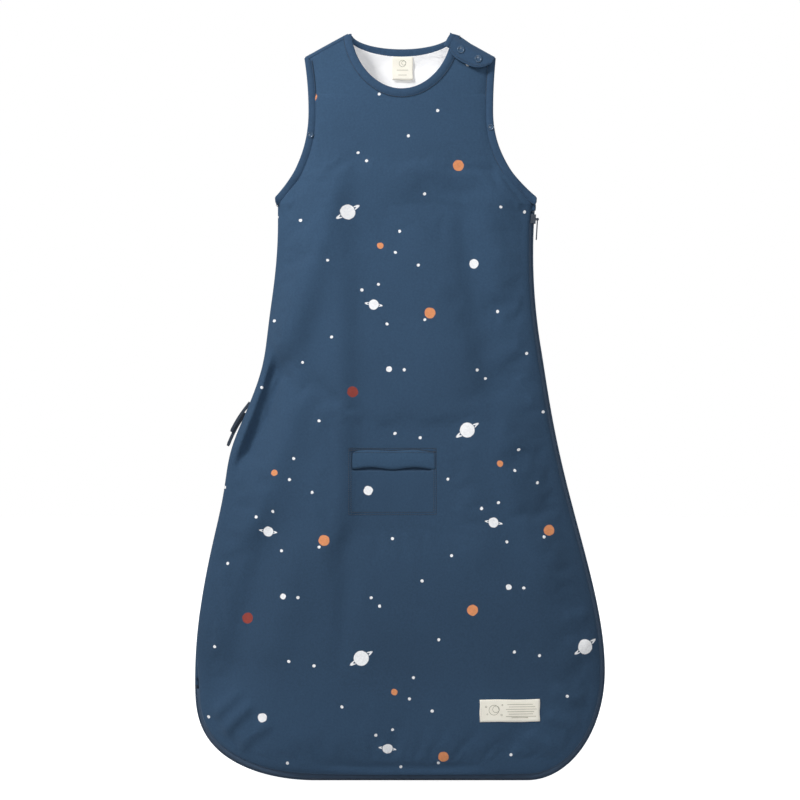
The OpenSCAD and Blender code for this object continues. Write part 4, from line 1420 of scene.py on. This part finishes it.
def build_zip():
    bend_at_fold(zip_bar("front_zip_tape_cloth", tape_profile(-1), TAPE, "tape",
                         ["front_zip_tape", "front_corner_zip_tape"]))
    bend_at_fold(teeth("front_zip_teeth", -1, ["front_zip_coil", "front_corner_zip_coil"]))
    zip_bar("back_zip_tape_cloth", tape_profile(1), TAPE, "tape", ["back_zip_tape"], "bag")
    teeth("back_zip_teeth", 1, ["back_zip_coil"], "bag")
    zip_bar("zip_edge_strip", STRIP_PROFILE, STRIP, "cloth", ["zip_cover_strip"], "bag", 4.0, True)
    zip_bar("zip_inner_guard", GUARD_PROFILE, STRIP, "cloth", ["zip_guard"], "bag")


def round_cad_node(name, material, width):
    """Keeps a CAD piece, with softened edges and its own material."""
    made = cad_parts[name]
    made.data.materials.clear()
    made.data.materials.append(material)
    bevel = made.modifiers.new("edges", "BEVEL")
    bevel.width = width * MM
    bevel.segments = 2
    bevel.limit_method = "ANGLE"


def build_zip_metal():
    for name in ("zip_slider", "zip_puller"):
        round_cad_node(name, METAL, 0.22)
    round_cad_node("zip_top_stops", METAL, 0.3)
    round_cad_node("zip_end_stop", METAL, 0.4)


def build_garage():
    """The little folded cloth cover over the zip's top end."""
    lo, hi = cad("zip_garage")
    mid = (lo + hi) / 2
    rings = []
    for t in np.linspace(0, 1, 12):
        z = mix(lo.z, hi.z, t)
        belly = math.sin(math.pi * t)
        half_x, half_y = (hi.x - lo.x) / 2 * (0.9 + 0.1 * belly), 1.6 * (0.8 + 0.2 * belly)
        rings.append([(mid.x + half_x * math.cos(a), mid.y + half_y * math.sin(a), z) for a in turns(16)])
    settle(solid("zip_garage_cloth", loft(rings), BAND), "bag", "cloth", "zip_garage")


def build_side_seam():
    """The plain side seam's allowance inside, with its overlocked edge."""
    rings = []
    for z in np.linspace(ZIP_END_Z + 12, UNDERARM_Z - 14, 110):
        wave = 0.4 * math.sin(z / 7.0)
        profile = ((LEFT_INSET, 0), (1.2, -1.3), (4, -1.5), (8.4 + wave, -1.2), (9 + wave, 0),
                   (8.4 + wave, 1.2), (4, 1.5), (1.2, 1.3))
        rings.append([(-float(left_side(z, u)), y, z) for u, y in profile])
    settle(solid("left_side_seam_cloth", loft(rings), STRIP), "bag", "cloth", "left_side_seam")


# ---- harness slots ---------------------------------------------------------------------------
WELT_WAVE = 1.3


def slot_wave(u, v):
    """How a welt's lower edge arches at v = 0 and its top edge at v = 1, along its length u."""
    arches = math.sin(2 * math.pi * u) ** 2
    droop = float(smooth((u - 0.75) / 0.25))
    return mix(2.0 * arches - 2.5, arches - 0.4 - 1.5 * droop, v)


def welt(name, lo, hi, near, away, surface, wave=0.0):
    """A padded strip that follows the cloth; near and away are its faces' distances off it."""
    def spot(u, v, off):
        x, z = mix(lo.x, hi.x, u), mix(lo.z, hi.z, v)
        return (x, surface(x, z) + off, z + wave * slot_wave(u, v))

    def outer(u, v):
        crown = math.sin(math.pi * v) ** 0.5 * math.sin(math.pi * u) ** 0.15
        return spot(u, v, away * (0.45 + 0.55 * crown))

    return solid(name, two_faced(40, 8, outer, lambda u, v: spot(u, v, near)), WELT)


# How far in each ring of the throat lies, how much wider it is, and how far it is drawn shut.
THROAT_STEPS = ((0.6, 0.0, 0.0), (8.8, 0.0, 0.82), (8.8, 1.4, 0.82), (0.6, 1.4, 0.0))
FACING_NEAR = 8.2
FACING_FAR = 9.0


def slot_throat(surface, back):
    """The turned-in cloth that lines a slot; it nearly closes towards the facing."""
    x0, x1 = SLOT_MID_X - SLOT_HALF, SLOT_MID_X + SLOT_HALF
    low, top = slot_low(back), SLOT_TOP_Z
    inwards = -1 if back else 1
    path = [(mix(x0, x1, t), low) for t in np.linspace(0, 1, 20)]
    path += [(x1, mix(low, top, t)) for t in np.linspace(0, 1, 6)[1:]]
    path += [(mix(x1, x0, t), top) for t in np.linspace(0, 1, 20)[1:]]
    path += [(x0, mix(top, low, t)) for t in np.linspace(0, 1, 6)[1:-1]]
    middle = np.array([SLOT_MID_X, (low + top) / 2])
    loops = []
    for off, grow, shut in THROAT_STEPS:
        loop = []
        for x, z in path:
            away = np.sign(np.array([x, z]) - middle) * grow
            loop.append((x + away[0], surface(x, z) + inwards * off, mix(z, top, shut) + away[1]))
        loops.append(loop)
    return closed_loft(loops)


def facing_cell(surface, inwards, x0, x1, z0, z1):
    """One rectangle of a facing, in strips of about 6 mm."""
    def face(off):
        def spot(u, v):
            x, z = mix(x0, x1, u), mix(z0, z1, v)
            return (x, surface(x, z) + inwards * off, z)
        return spot

    columns, rows = max(2, round((x1 - x0) / 6)), max(2, round((z1 - z0) / 6))
    return two_faced(columns, rows, face(FACING_NEAR), face(FACING_FAR))


def slot_facing(name, back, node_name):
    """The facing behind a slot, with the slot left open."""
    lo, hi = cad(node_name)
    surface = functools.partial(skin_y, back)
    low, x0, x1 = slot_low(back), SLOT_MID_X - SLOT_HALF, SLOT_MID_X + SLOT_HALF
    cells = ((lo.x, hi.x, lo.z, low), (lo.x, hi.x, SLOT_TOP_Z, hi.z),
             (lo.x, x0, low, SLOT_TOP_Z), (x1, hi.x, low, SLOT_TOP_Z))
    shapes = [facing_cell(surface, -1 if back else 1, *cell) for cell in cells]
    settle(solid(name, merge(shapes + [slot_throat(surface, back)]), FACING), "bag", "cloth", node_name)


def stitched_line(surface, a, b, out, count=40):
    points = []
    for t in np.linspace(0, 1, count):
        x, z = mix(a[0], b[0], t), mix(a[1], b[1], t)
        points.append((x, surface(x, z), z))
    return stitch_row(points, out, 2.4, 0.4)


def box_stitches(skin, out, lo, hi):
    """Two rows down, along and up round a facing, and one row above its slot."""
    top = hi.z + 1.5
    rows = []
    for inset in (0.0, 2.6):
        x0, x1, z0 = lo.x + inset, hi.x - inset, lo.z + inset
        corners = ((x0, top), (x0, z0), (x1, z0), (x1, top))
        rows += [stitched_line(skin.y, a, b, out) for a, b in zip(corners, corners[1:])]
    return rows + [stitched_line(skin.y, (lo.x, top), (hi.x, top), out)]


def painted_welt_crease_shadow(skin, lo, hi):
    """A painted shadow: a row of dark thread along the front welt's top edge, where its crease would be
    shaded.
    """
    points = []
    for u in np.linspace(0, 1, 60):
        x, z = mix(lo.x, hi.x, u), hi.z + WELT_WAVE * slot_wave(u, 1) + 0.5
        points.append((x, skin.y(x, z) - 0.3, z))
    return stitch_row(points, FORWARD, 2.2, 0.55)


def welt_stitches(lo, hi):
    rows = []
    for x in (lo.x + 2.2, hi.x - 2.2):
        points = [(x, skin_y(False, x, z) - 1.9, z) for z in np.linspace(lo.z + 1, hi.z - 1, 12)]
        rows.append(stitch_row(points, FORWARD, 1.6, 0.3))
    z = hi.z - 2.4
    points = [(x, skin_y(False, x, z) - 2.5, z) for x in np.linspace(lo.x + 2, hi.x - 2, 50)]
    return rows + [stitch_row(points, FORWARD, 3.0, 0.26)]


def build_harness(front, back):
    front_skin, back_skin = Skin(front, False), Skin(back, True)
    lo, hi = cad("front_harness_welt")
    flap = welt("front_slot_welt", lo, hi, -0.6, -2.9, functools.partial(skin_y, False), WELT_WAVE)
    settle(flap, "front_welt", "cloth", "front_harness_welt")
    slot_facing("front_slot_facing", False, "front_harness_facing")
    slot_facing("back_slot_facing", True, "back_harness_facing")
    back_lo, back_hi = cad("back_harness_welt")
    flap = welt("back_slot_welt", back_lo, back_hi, 0.0, back_hi.y - back_lo.y, lambda x, z: back_lo.y)
    settle(flap, "back_welt", "cloth", "back_harness_welt")
    box = cad("front_harness_facing")
    rows = box_stitches(front_skin, FORWARD, *box) + box_stitches(back_skin, -FORWARD, *box)
    # The dark thread round the slot also paints the shade of its stitch lines, and the crease row is painted
    # shadow only.
    stitch_piece("slot_stitches_and_painted_crease", rows + [painted_welt_crease_shadow(front_skin, lo, hi)], PAINTED_SHADE_THREAD)
    stitch_piece("welt_stitches", welt_stitches(lo, hi), THREAD, "front_welt")


# ---- labels and ties -------------------------------------------------------------------------
LABEL_T = 0.55
INK_T = 0.12
INK_SINK = 0.1
LABEL_HEM = 1.3


def label_cloth(name, lo, hi, surface, lift, body, node_name):
    """A thin woven label laid on a surface, with slightly wavy edges."""
    def face(off):
        def spot(u, v):
            x = mix(lo.x, hi.x, u) + 0.25 * math.sin(9 * v + 1)
            z = mix(lo.z, hi.z, v) + 0.3 * math.sin(7 * u)
            return (x, surface(x, z) - off, z)
        return spot

    shape = two_faced(24, 10, face(lift + LABEL_T), face(lift))
    settle(solid(name, shape, CREAM_WEAVE), body, "label", node_name)


def ink_bar(surface, lift, x0, x1, z, height):
    """A thin printed bar."""
    def face(off):
        def spot(u, v):
            x, bar_z = mix(x0, x1, u), z + height / 2 - v * height
            return (x, surface(x, bar_z) - off, bar_z)
        return spot

    return two_faced(max(2, round((x1 - x0) / 3)), 1, face(lift + INK_T), face(lift - INK_SINK))


def ink_ring(surface, lift, x, z, r, width):
    """A small printed ring; rings stand in for a label's picture."""
    loops = []
    for off, rr in ((lift - INK_SINK, r - width), (lift + INK_T, r - width), (lift + INK_T, r),
                    (lift - INK_SINK, r)):
        spots = [(x + rr * math.cos(a), z + rr * math.sin(a)) for a in turns(28)]
        loops.append([(px, surface(px, pz) - off, pz) for px, pz in spots])
    return closed_loft(loops)


def ink_bars(name, surface, lift, bars, body):
    shape = merge([ink_bar(surface, lift, *bar) for bar in bars])
    settle(solid(name, shape, INK_WEAVE, False), body, "label")


def ink_rings(name, surface, lift, rings, body):
    settle(solid(name, merge([ink_ring(surface, lift, *ring) for ring in rings]), INK_WEAVE), body, "label")


# A crescent of two rings with four specks round it: place from its middle, radius, line width.
HEM_LABEL_RINGS = ((0, 0, 6.2, 0.5), (2.4, 1, 4.2, 0.45), (-9.5, 4, 1.2, 0.4), (10, 6, 1.0, 0.4),
                   (-8, -5, 0.9, 0.35), (9, -6, 1.1, 0.4))


def build_hem_label(front):
    skin = Skin(front, False)
    lo, hi = cad("hem_label")
    label_cloth("hem_label_cloth", lo, hi, skin.y, 0.15, "front_corner", "hem_label")
    lift = 0.7
    lines = []
    for row in range(6):
        start = lo.x + 33 + 2.0 * math.sin(row * 2.1)
        lines.append((start, hi.x - 6 - 2.5 * math.cos(row * 1.7), hi.z - 6 - row * 2.9, 0.45))
    lines.append((lo.x + 38, lo.x + 58, lo.z + 5.0, 0.6))
    ink_bars("hem_label_lines", skin.y, lift, lines, "front_corner")
    mid_x, mid_z = lo.x + 17, (lo.z + hi.z) / 2 + 1
    moon = [(mid_x + x, mid_z + z, r, width) for x, z, r, width in HEM_LABEL_RINGS]
    ink_rings("hem_label_moon", skin.y, lift, moon, "front_corner")
    x0, x1, z0, z1 = lo.x + LABEL_HEM, hi.x - LABEL_HEM, lo.z + LABEL_HEM, hi.z - LABEL_HEM
    box = ((x0, z0), (x1, z0), (x1, z1), (x0, z1))
    rows = []
    for a, b in zip(box, box[1:] + box[:1]):
        spots = [(mix(a[0], b[0], t), mix(a[1], b[1], t)) for t in np.linspace(0, 1, 26)]
        rows.append(stitch_row([(x, skin.y(x, z) - lift, z) for x, z in spots], FORWARD, 2.2, 0.2))
    stitch_piece("hem_label_stitches", rows, WHITE_THREAD, "front_corner", "label")


def build_neck_label():
    lo, hi = cad("neck_label")
    mid = (lo.x + hi.x) / 2

    def hanging(x, z):
        return hi.y + 0.6 * math.sin((hi.z - z) / 9)

    label_cloth("neck_label_cloth", lo, hi, hanging, 0.0, "neck_label", "neck_label")
    bars = [(mid - 7, mid + 7, hi.z - 16, 0.5), (mid - 5, mid + 5, hi.z - 22, 0.5)]
    ink_bars("neck_label_lines", hanging, LABEL_T, bars, "neck_label")
    moon = [(mid, hi.z - 8, 4.2, 0.45), (mid + 1.6, hi.z - 7.4, 2.8, 0.4)]
    ink_rings("neck_label_moon", hanging, LABEL_T, moon, "neck_label")


TIE_HALF = 2.0
TIE_HALF_T = 0.55
TIE_BOW = 1.6
TIE_ROOT_UP = 6
TIE_ROOT_IN = 2.5


def build_tie(name, node_name, body, pivot, length, lean):
    """A tape end that hangs from the plain side seam; lean is its angle from straight down."""
    lean = math.radians(lean)
    down = np.array([-math.sin(lean), 0, -math.cos(lean)])
    side = np.array([math.cos(lean), 0, -math.sin(lean)])
    root = np.array(pivot) - down * TIE_ROOT_UP + np.array([TIE_ROOT_IN, 0, 0])
    tip = np.array(pivot) + down * length
    rings = []
    for t in np.linspace(0, 1, 24):
        centre = mix(root, tip, t) + np.array([-TIE_BOW * math.sin(math.pi * t), 0.105 * math.sin(t * 7), 0])
        half = TIE_HALF * (1 - 0.25 * smooth((t - 0.93) / 0.07))
        ring_points = []
        for a in turns(12):
            u, v = math.cos(a), math.sin(a)
            thick = np.sign(v) * abs(v) ** 0.7 * TIE_HALF_T
            ring_points.append(centre + side * np.sign(u) * abs(u) ** 0.5 * half + np.array([0, thick, 0]))
        rings.append(ring_points)
    settle(solid(name, loft(rings), TIE), body, "tape", node_name)


def build_ties():
    build_tie("upper_tie_tape", "upper_waist_tie", "upper_tie", (-186.0, -1.0, 451.0), 35.0, 30.0)
    build_tie("lower_tie_tape", "lower_waist_tie", "lower_tie", (-191.6, 1.0, 438.0), 38.0, 25.0)


# ---- the whole bag ---------------------------------------------------------------------------
OUTER_T = 1.5


def build_bag():
    front = build_front()
    lining = build_front_lining()
    back = build_back()
    back_lining = build_back_lining()
    build_bindings()
    shoulder_roll("left_shoulder_roll", -1, "left_shoulder_seam")
    shoulder_roll("right_shoulder_roll", 1, "right_shoulder_turn")
    build_tab()
    build_shoulder_studs()
    build_armhole_studs()
    build_zip()
    build_zip_metal()
    build_garage()
    build_side_seam()
    build_harness(front, back)
    build_hem_label(front)
    build_neck_label()
    build_ties()
    thicken(front, OUTER_T, 1)
    thicken(lining, 1.2)
    thicken(back, OUTER_T, 1)
    thicken(back_lining, 0.9)
    settle(bend_at_fold(front), None, "cloth", "front_shell", "front_corner_shell")
    settle(bend_at_fold(lining), None, "lining", "front_lining", "front_corner_lining", "front_wadding",
           "front_corner_wadding")
    settle(back, "bag", "cloth", "back_shell")
    settle(back_lining, "bag", "lining", "back_lining", "back_wadding")


# ---- studio ----------------------------------------------------------------------------------
FRAME_W = 0.96
LENS = 100.0
SENSOR = 36.0


def build_floor():
    size = 6.0
    mesh = bpy.data.meshes.new("floor")
    corners = [(-size, -size, 0), (size, -size, 0), (size, size, 0), (-size, size, 0)]
    mesh.from_pydata(corners, [], [(0, 1, 2, 3)])
    floor = bpy.data.objects.new("floor", mesh)
    floor.location.z = CAD_BOX[0].z - 1 * MM
    mesh.materials.append(stage_surface("studio_floor", srgb(200, 200, 200), 0.86))
    bpy.context.scene.collection.objects.link(floor)


def build_world():
    """White for the camera, and a softer fill light for everything else."""
    world = bpy.data.worlds.new("studio")
    world.use_nodes = True
    tree = world.node_tree
    tree.nodes.clear()
    output = tree.nodes.new("ShaderNodeOutputWorld")
    seen = tree.nodes.new("ShaderNodeLightPath").outputs["Is Camera Ray"]
    strength = ramp_value(tree, seen, 0.0, 1.0, 0.24, 1.0)
    back = node(tree, "ShaderNodeBackground", {"Color": (1, 1, 1, 1), "Strength": strength})
    tree.links.new(back.outputs[0], output.inputs[0])
    bpy.context.scene.world = world


def area_light(name, place, aim, size, power):
    light = bpy.data.lights.new(name, "AREA")
    light.size = size
    light.energy = power
    made = bpy.data.objects.new(name, light)
    made.location = place
    made.rotation_euler = (Vector(aim) - Vector(place)).to_track_quat("-Z", "Y").to_euler()
    bpy.context.scene.collection.objects.link(made)


def build_camera():
    camera = bpy.data.cameras.new("camera")
    camera.lens = LENS
    camera.sensor_width = SENSOR
    made = bpy.data.objects.new("camera", camera)
    made.location = (0, -FRAME_W * LENS / SENSOR - 0.012, 0.459)
    made.rotation_euler = (math.pi / 2, 0, 0)
    bpy.context.scene.collection.objects.link(made)
    bpy.context.scene.camera = made


def build_studio():
    build_floor()
    build_world()
    area_light("key", (-1.55, -1.5, 2.3), (0, 0, 0.6), 0.6, 62)
    area_light("front", (0.9, -3.5, 1.1), (0, 0, 0.5), 1.4, 27)
    area_light("back", (0.6, 2.6, 2.2), (0, 0, 0.5), 1.6, 40)
    build_camera()
    bpy.context.scene.view_settings.view_transform = "Standard"


build_bag()
build_studio()
